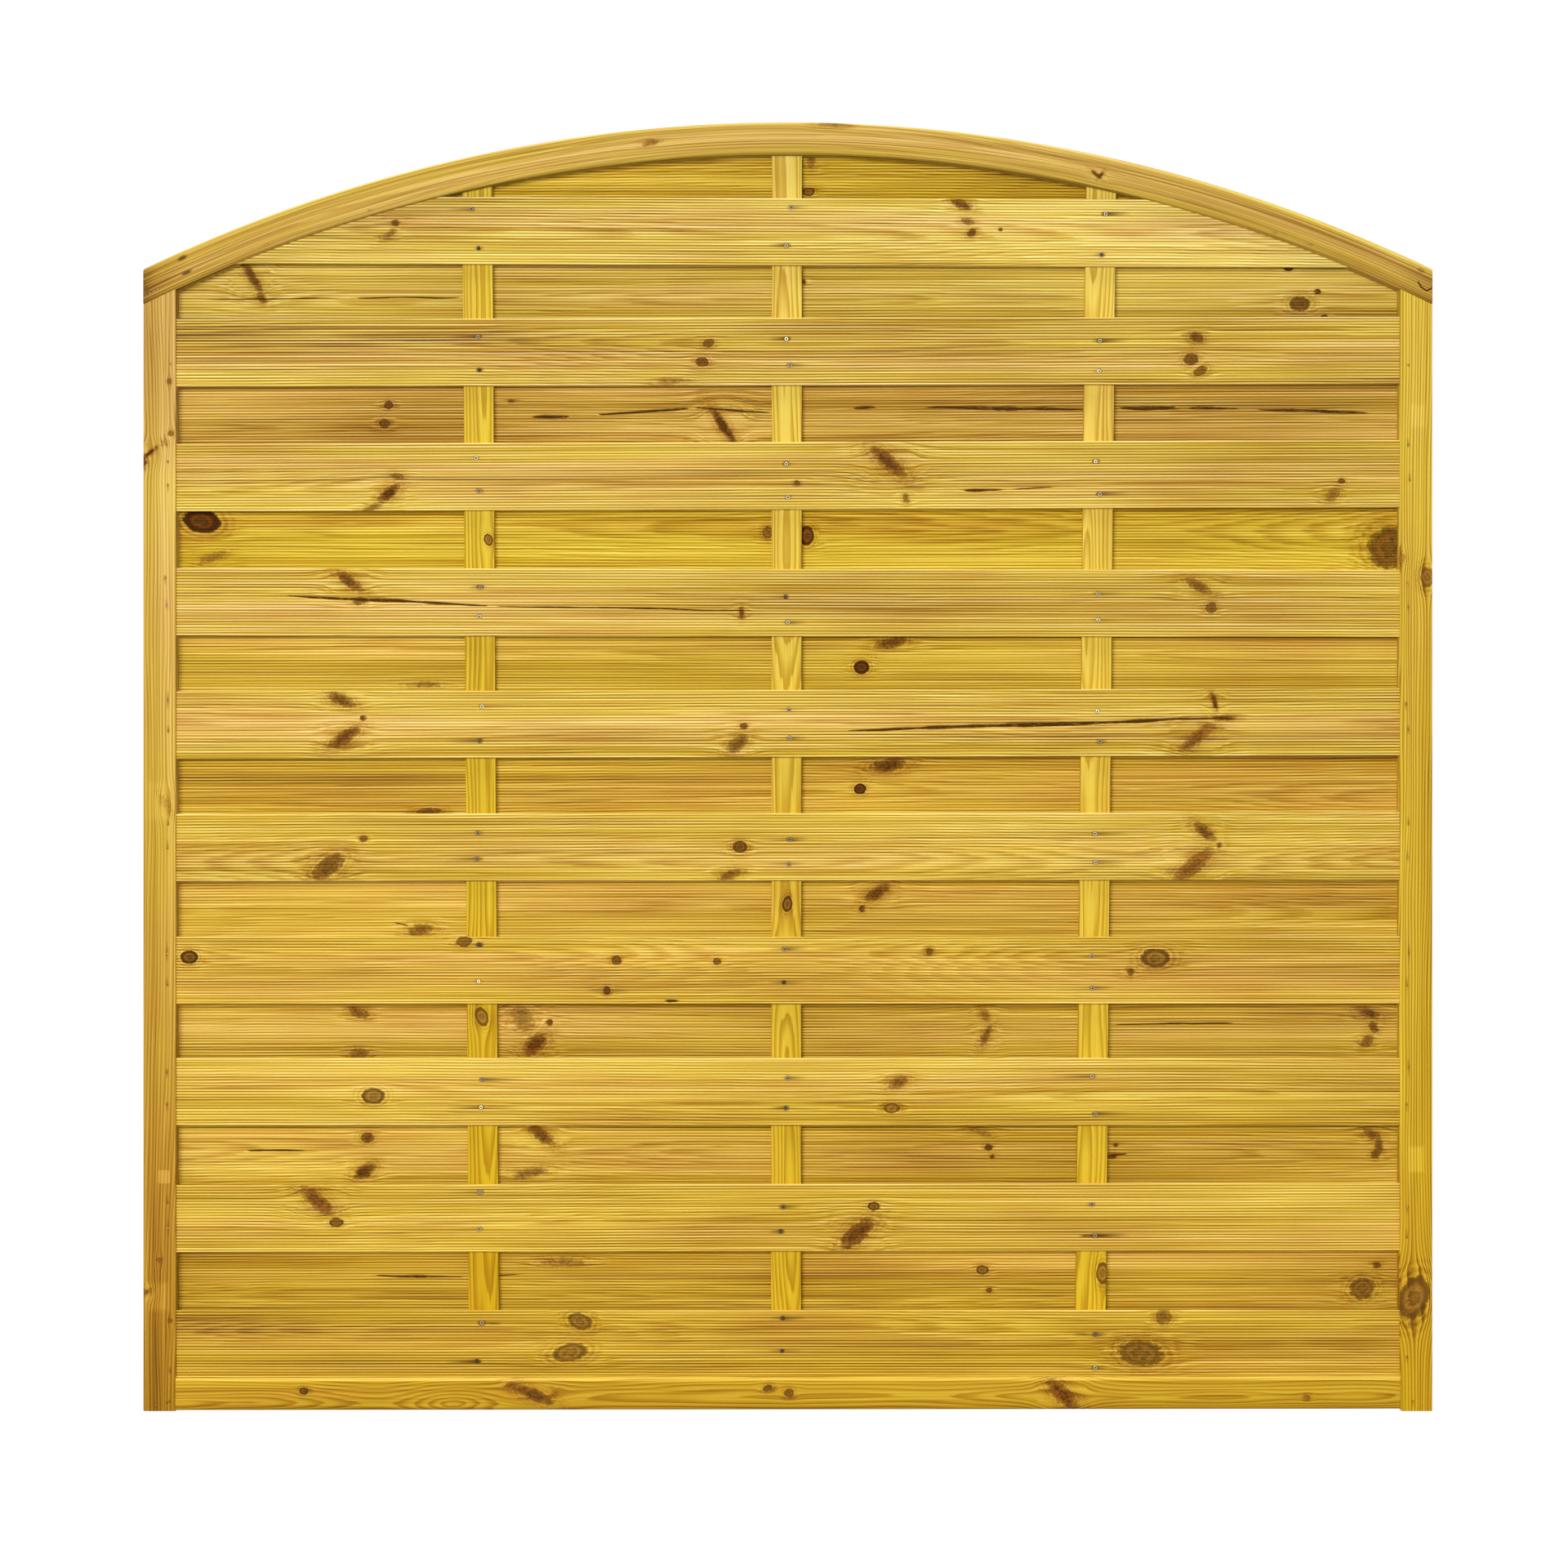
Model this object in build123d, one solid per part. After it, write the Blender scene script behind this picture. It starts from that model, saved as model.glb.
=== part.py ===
from build123d import *
import math
import os

# Framed, double-slatted fence panel with an arched top rail.
# X runs across the panel, Y through its thickness (front face at -Y), Z up.
# The origin is at the middle of the base. Everything is in millimetres.

# ---------------------------------------------------------------- driving dimensions
PANEL_W = 1800.0            # over the outer faces of the stiles
PANEL_H = 1800.0            # floor to the crown of the arch
FRAME = 45.0                # square frame timber: stiles, arch and bottom rail
HALF_W = PANEL_W / 2
HALF_D = FRAME / 2
INNER_X = HALF_W - FRAME    # inner face of a stile

ARCH_R_OUT = 2077.0         # outer edge of the arched rail
ARCH_R_IN = ARCH_R_OUT - FRAME
ARCH_Z = PANEL_H - ARCH_R_OUT   # height of the arch's centre (below the base)

SLAT_H = 94.0               # full height of a slat
SLAT_T = 7.0                # thickness over the reeds
REED_PITCH = 4.0
REED_VALLEYS = 23           # valleys on each broad face, centred on the slat
REED_DEPTH = 0.9
SLAT_FACE = 15.0            # outer face of a slat, from the panel's middle plane
BATTEN_W = 42.0
BATTEN_T = 15.9             # the slats lie against it with 0.05 mm to spare a side

CHEEK_IN = 15.4             # groove wall nearest the panel's face
TONGUE = 7.95               # groove wall nearest the middle plane
GROOVE_STILE = 22.0         # depth of the two slat grooves in a stile
GROOVE_ARCH = 18.0          # the same in the arch
SLAT_END_X = INNER_X + GROOVE_STILE - 1.5
SLAT_END_R = ARCH_R_IN + GROOVE_ARCH - 1.5

STILE_EDGE_R = 2.5          # rounding along a stile
RAIL_EDGE_R = 5.5           # rounding along the arch and the bottom rail
BATTEN_EDGE_R = 1.2

RAIL_Z = (0.8, 2.8)         # underside of the bottom rail at its left and right ends
RAIL_H = 45.0

# underside of each front slat at the left and right stile, top slat first
FRONT_Z = [
    (1603.8, 1597.5), (1431.4, 1434.8), (1256.8, 1262.5), (1083.3, 1081.0),
    (910.9, 915.5), (739.7, 741.9), (567.9, 568.4), (398.4, 398.4),
    (220.9, 223.7), (45.6, 46.0),
]
REAR_TOP_Z = 1688.0         # underside of the rear slat behind the crown

# centre line of each batten: X at Z = 1562 and at Z = 179
BATTEN_X = {"left": (-434.0, -426.0), "centre": (-1.4, -2.5), "right": (436.9, 424.4)}
BATTEN_REF_Z = (1562.0, 179.0)

NAIL_HEAD_R = 3.0
NAIL_HEAD_T = 1.2
NAIL_SHANK_R = 1.2
NAIL_LEN = 22.0
NAIL_SINK = 0.3             # head below the crests of the reeds
HEAD_HOLE_R = 3.1
SHANK_HOLE_R = 1.3
PIN_R = 0.8
PIN_HOLE_R = 0.85
PIN_SINK = 0.25

# front batten nails, (X, Z), two through each slat into each batten
FRONT_NAILS = [
    [(-442.6, 1679.2), (-432.4, 1624.4), (4.9, 1681.5), (-2.0, 1628.4), (444.4, 1672.3), (438.7, 1615.2)],
    [(-433.5, 1501.1), (-431.2, 1454.3), (-2.0, 1497.7), (2.6, 1461.1), (436.4, 1495.4), (435.3, 1452.6)],
    [(-435.8, 1331.0), (-431.8, 1285.3), (-2.0, 1323.0), (0.3, 1276.2), (430.7, 1326.4), (436.4, 1280.8)],
    [(-430.1, 1150.6), (-431.2, 1109.5), (-3.1, 1136.9), (0.3, 1101.5), (434.1, 1141.5), (434.1, 1105.0)],
    [(-427.8, 984.0), (-431.2, 936.0), (1.4, 979.4), (2.6, 939.4), (433.0, 977.1), (436.4, 934.9)],
    [(-433.5, 807.0), (-434.6, 770.5), (2.6, 797.9), (1.4, 763.6), (429.5, 805.9), (430.7, 765.9)],
    [(-431.2, 650.6), (-432.4, 599.2), (-4.3, 644.9), (-5.4, 598.1), (425.0, 634.6), (426.1, 590.1)],
    [(-426.6, 462.2), (-428.9, 423.4), (0.3, 464.5), (-3.1, 422.3), (425.0, 466.8), (430.7, 414.3)],
    [(-430.1, 304.7), (-431.2, 253.3), (-6.5, 284.2), (-10.0, 249.9), (425.0, 287.6), (429.5, 244.2)],
    [(-427.8, 122.1), (-434.6, 68.4), (-6.8, 128.7), (-7.9, 82.8), (430.1, 106.1), (429.7, 59.1)],
]
# rear batten nails: (dX from the batten's centre, dZ from the slat's centre)
REAR_NAIL_STEPS = {
    "left": [(2.0, 21.0), (-3.0, -22.5)],
    "centre": [(-2.5, 23.0), (3.5, -20.0)],
    "right": [(1.0, 19.5), (-2.0, -24.0)],
}
# headless pins seen in the frame's front: (X, Z)
PINS_LEFT = [
    (-866.8, 1502.3), (-861.9, 1461.6), (-865.5, 1325.6), (-865.5, 1292.6), (-869.2, 1163.3),
    (-866.9, 1122.2), (-865.8, 992.6), (-865.1, 950.2), (-865.1, 819.5), (-866.0, 785.9),
    (-866.6, 639.0), (-866.3, 594.7), (-866.6, 473.1), (-866.6, 428.3), (-866.1, 290.7),
    (-865.4, 255.3), (-861.1, 126.0), (-862.2, 56.0), (-866.8, 11.5), (-863.2, 13.2), (-882.4, 8.5),
]
PINS_RIGHT = [
    (862.8, 1504.8), (866.2, 1460.0), (866.1, 1348.6), (868.3, 1299.7), (865.0, 1153.7),
    (866.1, 1121.6), (863.1, 987.2), (866.2, 951.2), (866.2, 819.9), (865.1, 772.3),
    (867.2, 639.0), (864.6, 593.8), (866.7, 479.6), (864.1, 428.3), (865.0, 285.0),
    (864.1, 242.6), (867.8, 122.0), (864.3, 74.7), (872.5, 13.7),
]
PINS_ARCH = [
    (-845.1, 1609.5), (-839.1, 1589.3), (-890.5, 1560.6), (-885.1, 1564.1), (-879.9, 1566.7),
    (883.8, 1592.6), (885.5, 1567.0), (-728.2, 1627.9), (-584.5, 1676.2), (680.9, 1645.0),
    (729.9, 1627.9),
]
PIN_LEN = 14.0
# rear pins in the arch, laid out plainly
PINS_ARCH_REAR = [
    (-887.0, 1563.0), (-881.5, 1566.2), (887.0, 1563.0), (881.5, 1566.2),
    (-660.0, 1653.3), (-430.0, 1717.2), (430.0, 1717.2), (660.0, 1653.3),
]

os.makedirs("parts", exist_ok=True)


# ---------------------------------------------------------------- helpers
def save(name, shape):
    shape.label = name
    export_step(shape, os.path.join("parts", name + ".step"))


def along_y(x, z, y0, y1, r):
    """a round bar or hole along Y between two depths"""
    return Pos(x, (y0 + y1) / 2, z) * Cylinder(r, abs(y1 - y0), rotation=(90, 0, 0))


def disc(r, depth=60.0):
    """everything within r of the arch's centre line"""
    return Pos(0, 0, ARCH_Z) * Cylinder(r, depth, rotation=(90, 0, 0))


def tilt_deg(z_left, z_right):
    return -math.degrees(math.atan2(z_right - z_left, 2 * INNER_X))


def slat_outline(offset):
    """reeded section of a slat, upright in the YZ plane, broad faces at y = -T/2 and +T/2.
    offset slides the reeds a little up or down, as the boards were ripped."""
    t = SLAT_T / 2
    h = SLAT_H / 2
    ease = 0.9
    zv = [(i - (REED_VALLEYS - 1) / 2) * REED_PITCH + offset for i in range(REED_VALLEYS)]

    def side(sign, lows):
        """edges of one broad face, walked from the first valley height to the last"""
        y_out = sign * t
        y_val = sign * (t - REED_DEPTH)
        out = []
        step = 1 if lows[-1] > lows[0] else -1
        first, last = lows[0], lows[-1]
        # edge land, rounded down into the first valley
        out.append(Edge.make_line((0, y_out, -step * (h - ease)), (0, y_out, first - step * 1.3)))
        out.append(Edge.make_three_point_arc(
            (0, y_out, first - step * 1.3), (0, sign * (t - 0.22), first - step * 0.6), (0, y_val, first)))
        for a, b in zip(lows, lows[1:]):
            out.append(Edge.make_three_point_arc((0, y_val, a), (0, y_out, (a + b) / 2), (0, y_val, b)))
        out.append(Edge.make_three_point_arc(
            (0, y_val, last), (0, sign * (t - 0.22), last + step * 0.6), (0, y_out, last + step * 1.3)))
        out.append(Edge.make_line((0, y_out, last + step * 1.3), (0, y_out, step * (h - ease))))
        return out

    up = side(-1, zv)                       # front face, bottom to top
    down = side(1, zv[::-1])                # back face, top to bottom
    top = [
        Edge.make_line((0, -t, h - ease), (0, -t + ease, h)),
        Edge.make_line((0, -t + ease, h), (0, t - ease, h)),
        Edge.make_line((0, t - ease, h), (0, t, h - ease)),
    ]
    bottom = [
        Edge.make_line((0, t, -h + ease), (0, t - ease, -h)),
        Edge.make_line((0, t - ease, -h), (0, -t + ease, -h)),
        Edge.make_line((0, -t + ease, -h), (0, -t, -h + ease)),
    ]
    return Face(Wire(up + top + down + bottom))


def slat(y_mid, z_left, z_right, offset, half_len=SLAT_END_X):
    board = extrude(slat_outline(offset), amount=half_len, dir=(1, 0, 0), both=True)
    z_mid = (z_left + z_right) / 2 + SLAT_H / 2
    return Pos(0, y_mid, z_mid) * Rot(0, tilt_deg(z_left, z_right), 0) * board


def batten_x(name, z):
    x1, x0 = BATTEN_X[name]
    z1, z0 = BATTEN_REF_Z
    return x0 + (x1 - x0) * (z - z0) / (z1 - z0)


def rail_top(x):
    a, b = RAIL_Z
    return a + (b - a) * (x + INNER_X) / (2 * INNER_X) + RAIL_H


def nail(sign):
    """flat-headed nail, driven along +Y from the front (sign 1) or -Y from the back (-1)"""
    y_head = -SLAT_FACE + NAIL_SINK
    y_seat = y_head + NAIL_HEAD_T
    y_tip = y_head + NAIL_LEN
    pts = [
        (0, y_head + 0.35), (0.9, y_head), (NAIL_HEAD_R - 0.35, y_head), (NAIL_HEAD_R, y_head + 0.3),
        (NAIL_HEAD_R, y_seat), (NAIL_SHANK_R, y_seat), (NAIL_SHANK_R, y_tip - 3.0), (0, y_tip),
    ]
    body = revolve(make_face(Polyline(*pts, close=True)), Axis.Y, 360)
    return body if sign > 0 else Rot(0, 0, 180) * body


def pin(sign):
    """headless pin, set just under the frame's face"""
    y0 = -HALF_D + PIN_SINK
    pts = [
        (0, y0), (PIN_R - 0.15, y0), (PIN_R, y0 + 0.15), (PIN_R, y0 + PIN_LEN - 1.6), (0, y0 + PIN_LEN),
    ]
    body = revolve(make_face(Polyline(*pts, close=True)), Axis.Y, 360)
    return body if sign > 0 else Rot(0, 0, 180) * body


def nail_holes_slat(places, sign):
    y_seat = -SLAT_FACE + NAIL_SINK + NAIL_HEAD_T
    tools = []
    for x, z in places:
        tools.append(along_y(x, z, sign * -16.5, sign * y_seat, HEAD_HOLE_R))
        tools.append(along_y(x, z, sign * (y_seat - 0.5), sign * -6.5, SHANK_HOLE_R))
    return tools


def nail_holes_batten(places, sign):
    y_tip = -SLAT_FACE + NAIL_SINK + NAIL_LEN
    return [along_y(x, z, sign * -9.0, sign * (y_tip + 0.2), SHANK_HOLE_R) for x, z in places]


def pin_holes(places, sign):
    y_tip = -HALF_D + PIN_SINK + PIN_LEN
    return [along_y(x, z, sign * -(HALF_D + 1), sign * (y_tip + 0.15), PIN_HOLE_R) for x, z in places]


# ---------------------------------------------------------------- where the rear slats and their nails go
REAR_Z = [(REAR_TOP_Z, REAR_TOP_Z)]
for (upper_l, upper_r), (lower_l, lower_r) in zip(FRONT_Z, FRONT_Z[1:]):
    REAR_Z.append((
        (upper_l + lower_l + SLAT_H) / 2 - SLAT_H / 2,
        (upper_r + lower_r + SLAT_H) / 2 - SLAT_H / 2,
    ))

REAR_NAILS = []
for i, (zl, zr) in enumerate(REAR_Z):
    places = []
    for j, name in enumerate(BATTEN_X):
        xb = batten_x(name, (zl + zr) / 2)
        zc = zl + (zr - zl) * (xb + INNER_X) / (2 * INNER_X) + SLAT_H / 2
        for k, (dx, dz) in enumerate(REAR_NAIL_STEPS[name]):
            if i == 0:
                if name != "centre":
                    if k == 1:
                        continue
                    dz = -37.0
                else:
                    dz = (-8.0, -34.0)[k]
            wob = 2.2 * math.sin(3.1 * i + 1.7 * j + 2.3 * k)
            places.append((round(xb + dx + wob, 2), round(zc + dz + (0 if i == 0 else wob), 2)))
    REAR_NAILS.append(places)


def pins_in(places, z_lo, z_hi):
    return [(x, z) for x, z in places if z_lo - 2 < z < z_hi + 2]


REAR_PINS_SLAT = []
for i, (zl, zr) in enumerate(REAR_Z[1:]):
    rows = []
    for sx, z0 in ((-1, zl), (1, zr)):
        for k, dz in enumerate((26.0, 69.0)):
            if i == 0:
                dz = (10.0, 27.0)[k]    # the uppermost rear slat runs up under the arch
            rows.append((sx * (865.5 + 1.8 * math.sin(2.0 * i + 3 * k + sx)), z0 + dz + 3.0 * math.sin(1.3 * i + k)))
    REAR_PINS_SLAT.append([(round(x, 2), round(z, 2)) for x, z in rows])
REAR_PINS_RAIL = [(-865.0, 12.5), (-866.5, 33.0), (865.0, 14.0), (866.0, 35.0)]

ALL_REAR_STILE_PINS = [p for row in REAR_PINS_SLAT for p in row] + REAR_PINS_RAIL


# ---------------------------------------------------------------- stiles
def stile(side):
    """side -1 left, +1 right"""
    raw = Box(FRAME, FRAME, 1640.0, align=(Align.CENTER, Align.CENTER, Align.MIN))
    raw = fillet(raw.edges().filter_by(Axis.Z), STILE_EDGE_R)
    # the feet are eased: the left one outside, the right one inside
    foot = raw.edges().filter_by(Axis.Y).group_by(Axis.Z)[0].sort_by(Axis.X)[0]
    raw = fillet(foot, 2.0 if side < 0 else 3.4)
    body = Pos(side * (INNER_X + FRAME / 2), 0, 0) * raw
    body = body & disc(ARCH_R_IN)
    w = CHEEK_IN - TONGUE
    tools = []
    for s in (-1, 1):
        tools.append(
            Pos(side * (INNER_X + GROOVE_STILE / 2 - 1), s * (TONGUE + w / 2), 800)
            * Box(GROOVE_STILE + 2, w, 1800)
        )
    body = body - tools
    # two tongues on the head enter the arch's grooves
    x0 = INNER_X + GROOVE_STILE + 1.5
    for s in (-1, 1):
        tongue = Pos(side * (x0 + HALF_W) / 2, s * (TONGUE + w / 2), 1560) * Box(HALF_W - x0, w - 0.3, 120)
        tongue = tongue & disc(ARCH_R_IN + GROOVE_ARCH - 1.0)
        # the tongue grows out of the solid part of the head
        body = body + (tongue - (Pos(0, 0, 1430) * Box(2000, 60, 180)))
    pins = pin_holes(PINS_LEFT if side < 0 else PINS_RIGHT, 1)
    pins += pin_holes([p for p in PINS_ARCH if p[0] * side > INNER_X], 1)
    pins += pin_holes([p for p in ALL_REAR_STILE_PINS if p[0] * side > 0], -1)
    pins += pin_holes([p for p in PINS_ARCH_REAR if p[0] * side > INNER_X], -1)
    return body - pins


save("left_stile", stile(-1))
save("right_stile", stile(1))

# ---------------------------------------------------------------- arched top rail
SWEEP = 56.0                # more than enough, the ends are cut plumb
FACETS = 3                  # flats that round each long corner of the arch
corner = []
c = FRAME / 2 - RAIL_EDGE_R
for cu, cv, start in ((c, c, 0), (-c, c, 90), (-c, -c, 180), (c, -c, 270)):
    for k in range(FACETS + 1):
        t = math.radians(start + 90.0 * k / FACETS)
        corner.append((cu + RAIL_EDGE_R * math.cos(t), cv + RAIL_EDGE_R * math.sin(t)))
band = Plane((0, 0, ARCH_Z), x_dir=(0, 1, 0), z_dir=(1, 0, 0)) * Pos(0, (ARCH_R_IN + ARCH_R_OUT) / 2) * make_face(
    Polyline(*corner, close=True))
axis = Axis((0, 0, ARCH_Z), (0, 1, 0))
arch = revolve(band.rotate(axis, -SWEEP / 2), axis, SWEEP)
arch = arch & (Pos(0, 0, 1650) * Box(PANEL_W, 60, 400))
w = CHEEK_IN - TONGUE
for s in (-1, 1):
    ring = Pos(0, s * (TONGUE + w / 2), ARCH_Z) * Cylinder(ARCH_R_IN + GROOVE_ARCH, w, rotation=(90, 0, 0))
    arch = arch - ring
arch = arch - (pin_holes(PINS_ARCH, 1) + pin_holes(PINS_ARCH_REAR, -1))
save("arched_top_rail", arch)

# ---------------------------------------------------------------- bottom rail
a, b = RAIL_Z
side_view = make_face(Polyline(
    (-INNER_X, 0, a), (INNER_X, 0, b), (INNER_X, 0, b + RAIL_H), (-INNER_X, 0, a + RAIL_H), close=True))
rail = extrude(side_view, amount=HALF_D, dir=(0, 1, 0), both=True)
long_edges = [e for e in rail.edges() if e.length > 1000]
rail = fillet(long_edges, RAIL_EDGE_R)
for side in (-1, 1):
    z0 = a if side < 0 else b
    for s in (-1, 1):
        tenon = Pos(side * (INNER_X + (GROOVE_STILE - 1.5) / 2 - 1), s * (TONGUE + w / 2), z0 + RAIL_H / 2) * Box(
            GROOVE_STILE - 1.5 + 2, w - 0.3, RAIL_H - 14)
        rail = rail + tenon
rail_pins = [p for p in PINS_LEFT + PINS_RIGHT if p[1] < 40 and abs(p[0]) < SLAT_END_X]
rail = rail - (pin_holes(rail_pins, 1) + pin_holes(REAR_PINS_RAIL, -1))
save("bottom_rail", rail)

# ---------------------------------------------------------------- battens
for name in BATTEN_X:
    xt, xb = batten_x(name, 1790.0), batten_x(name, 20.0)
    h = BATTEN_W / 2
    view = make_face(Polyline(
        (xb - h, 0, 20.0), (xb + h, 0, 20.0), (xt + h, 0, 1790.0), (xt - h, 0, 1790.0), close=True))
    bar = extrude(view, amount=BATTEN_T / 2, dir=(0, 1, 0), both=True)
    bar = fillet([e for e in bar.edges() if e.length > 1000], BATTEN_EDGE_R)
    bar = bar & disc(ARCH_R_IN)
    tilt = tilt_deg(*RAIL_Z)
    below = Pos(0, 0, (a + b) / 2 + RAIL_H) * Rot(0, tilt, 0) * Box(
        2000, 60, 200, align=(Align.CENTER, Align.CENTER, Align.MAX))
    bar = bar - below
    front_places = [p for row in FRONT_NAILS for p in row if abs(p[0] - batten_x(name, p[1])) < h]
    rear_places = [p for row in REAR_NAILS for p in row if abs(p[0] - batten_x(name, p[1])) < h]
    bar = bar - (nail_holes_batten(front_places, 1) + nail_holes_batten(rear_places, -1))
    save("batten_" + name, bar)

# ---------------------------------------------------------------- front slats
trim = disc(SLAT_END_R)
for i, (zl, zr) in enumerate(FRONT_Z):
    board = slat(-(SLAT_FACE - SLAT_T / 2), zl, zr, 0.35 * math.sin(2.2 * i))
    if i == 0:
        board = board & trim
    if i == len(FRONT_Z) - 1:
        tilt = tilt_deg(*RAIL_Z)
        board = board - (Pos(0, 0, (a + b) / 2 + RAIL_H + 0.25) * Rot(0, tilt, 0) * Box(
            2000, 60, 200, align=(Align.CENTER, Align.CENTER, Align.MAX)))
    tools = nail_holes_slat(FRONT_NAILS[i], 1)
    lo, hi = min(zl, zr), max(zl, zr) + SLAT_H
    near = pins_in(PINS_LEFT + PINS_RIGHT, lo, hi)
    if i == 0:
        near = [p for p in PINS_ARCH if abs(p[0]) < INNER_X]
    board = board - (tools + pin_holes([p for p in near if p[1] > 40], 1))
    save("front_slat_%02d" % (i + 1), board)

# ---------------------------------------------------------------- rear slats
for i, (zl, zr) in enumerate(REAR_Z):
    board = slat(SLAT_FACE - SLAT_T / 2, zl, zr, 0.35 * math.sin(1.7 * i + 1.0))
    if i <= 1:
        board = board & trim
    tools = nail_holes_slat(REAR_NAILS[i], -1)
    if i == 0:
        near = [p for p in PINS_ARCH_REAR if abs(p[0]) < INNER_X]
    else:
        near = REAR_PINS_SLAT[i - 1]
    board = board - (tools + pin_holes(near, -1))
    save("rear_slat_%02d" % (i + 1), board)

# ---------------------------------------------------------------- nails and pins, grouped
front_nail, rear_nail = nail(1), nail(-1)
front_pin, rear_pin = pin(1), pin(-1)


def group(name, piece, places):
    save(name, Compound([Pos(x, 0, z) * piece.solid() for x, z in places]))


group("front_batten_nails", front_nail, [p for row in FRONT_NAILS for p in row])
group("rear_batten_nails", rear_nail, [p for row in REAR_NAILS for p in row])
group("front_frame_pins", front_pin, PINS_LEFT + PINS_RIGHT + PINS_ARCH)
group("rear_frame_pins", rear_pin, ALL_REAR_STILE_PINS + PINS_ARCH_REAR)
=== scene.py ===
import bpy
import math
import numpy as np
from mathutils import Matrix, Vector


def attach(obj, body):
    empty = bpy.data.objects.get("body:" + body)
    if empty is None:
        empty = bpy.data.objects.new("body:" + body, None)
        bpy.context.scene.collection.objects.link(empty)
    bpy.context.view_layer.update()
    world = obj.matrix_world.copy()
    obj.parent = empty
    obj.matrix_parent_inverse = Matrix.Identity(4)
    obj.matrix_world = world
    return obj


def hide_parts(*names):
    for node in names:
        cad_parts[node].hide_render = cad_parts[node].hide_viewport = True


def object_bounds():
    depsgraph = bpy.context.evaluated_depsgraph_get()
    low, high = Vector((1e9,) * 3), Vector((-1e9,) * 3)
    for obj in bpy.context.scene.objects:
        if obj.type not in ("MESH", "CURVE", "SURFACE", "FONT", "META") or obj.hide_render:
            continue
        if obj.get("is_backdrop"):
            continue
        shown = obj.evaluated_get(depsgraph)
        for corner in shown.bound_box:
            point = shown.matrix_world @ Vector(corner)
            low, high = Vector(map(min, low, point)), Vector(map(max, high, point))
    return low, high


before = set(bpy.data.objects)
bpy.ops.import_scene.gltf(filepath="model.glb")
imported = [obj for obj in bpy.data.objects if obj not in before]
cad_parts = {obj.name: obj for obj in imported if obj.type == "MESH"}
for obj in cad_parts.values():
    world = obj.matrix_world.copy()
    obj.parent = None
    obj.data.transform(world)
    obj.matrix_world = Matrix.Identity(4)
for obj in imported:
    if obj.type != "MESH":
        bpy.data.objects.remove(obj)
CAD_BOX = [list(c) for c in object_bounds()]

# ------------------------------------------------------------------ camera
# Square on to the panel, 5.6 m in front of it, at half its height.
CAM_X, CAM_DIST, CAM_Z = -0.0054, 5.6225, 0.8755
cam_data = bpy.data.cameras.new("camera")
cam_data.sensor_width = 36.0
cam_data.lens = 92.1
cam_data.clip_end = 200.0
cam = bpy.data.objects.new("camera", cam_data)
cam.location = (CAM_X, -CAM_DIST, CAM_Z)
cam.rotation_euler = (math.radians(90), 0, 0)
bpy.context.scene.collection.objects.link(cam)
bpy.context.scene.camera = cam
bpy.context.scene.view_settings.view_transform = "Standard"
bpy.context.scene.view_settings.look = "None"

# ------------------------------------------------------------------ the panel's sizes, in millimetres
INNER_X, HALF_W, HALF_D = 855.0, 900.0, 22.5
ARCH_R_OUT, ARCH_R_IN, ARCH_Z = 2077.0, 2032.0, -277.0
SLAT_FACE, SLAT_T, SLAT_H = 15.0, 7.0, 94.0
PITCH, VALLEYS, DEPTH = 4.0, 23, 0.9
SLAT_END_X, SLAT_END_R = 875.5, 2048.5
CHEEK_IN, TONGUE = 15.4, 7.95
FRONT_Z = [
    (1603.8, 1597.5), (1431.4, 1434.8), (1256.8, 1262.5), (1083.3, 1081.0),
    (910.9, 915.5), (739.7, 741.9), (567.9, 568.4), (398.4, 398.4),
    (220.9, 223.7), (45.6, 46.0),
]
REAR_Z = [(1688.0, 1688.0)] + [
    ((a[0] + b[0]) / 2, (a[1] + b[1]) / 2) for a, b in zip(FRONT_Z, FRONT_Z[1:])
]
BATTEN_X = {"left": (-434.0, -426.0), "centre": (-1.4, -2.5), "right": (436.9, 424.4)}
FRONT_NAILS = [
    [(-442.6, 1679.2), (-432.4, 1624.4), (4.9, 1681.5), (-2.0, 1628.4), (444.4, 1672.3), (438.7, 1615.2)],
    [(-433.5, 1501.1), (-431.2, 1454.3), (-2.0, 1497.7), (2.6, 1461.1), (436.4, 1495.4), (435.3, 1452.6)],
    [(-435.8, 1331.0), (-431.8, 1285.3), (-2.0, 1323.0), (0.3, 1276.2), (430.7, 1326.4), (436.4, 1280.8)],
    [(-430.1, 1150.6), (-431.2, 1109.5), (-3.1, 1136.9), (0.3, 1101.5), (434.1, 1141.5), (434.1, 1105.0)],
    [(-427.8, 984.0), (-431.2, 936.0), (1.4, 979.4), (2.6, 939.4), (433.0, 977.1), (436.4, 934.9)],
    [(-433.5, 807.0), (-434.6, 770.5), (2.6, 797.9), (1.4, 763.6), (429.5, 805.9), (430.7, 765.9)],
    [(-431.2, 650.6), (-432.4, 599.2), (-4.3, 644.9), (-5.4, 598.1), (425.0, 634.6), (426.1, 590.1)],
    [(-426.6, 462.2), (-428.9, 423.4), (0.3, 464.5), (-3.1, 422.3), (425.0, 466.8), (430.7, 414.3)],
    [(-430.1, 304.7), (-431.2, 253.3), (-6.5, 284.2), (-10.0, 249.9), (425.0, 287.6), (429.5, 244.2)],
    [(-427.8, 122.1), (-434.6, 68.4), (-6.8, 128.7), (-7.9, 82.8), (430.1, 106.1), (429.7, 59.1)],
]
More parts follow.
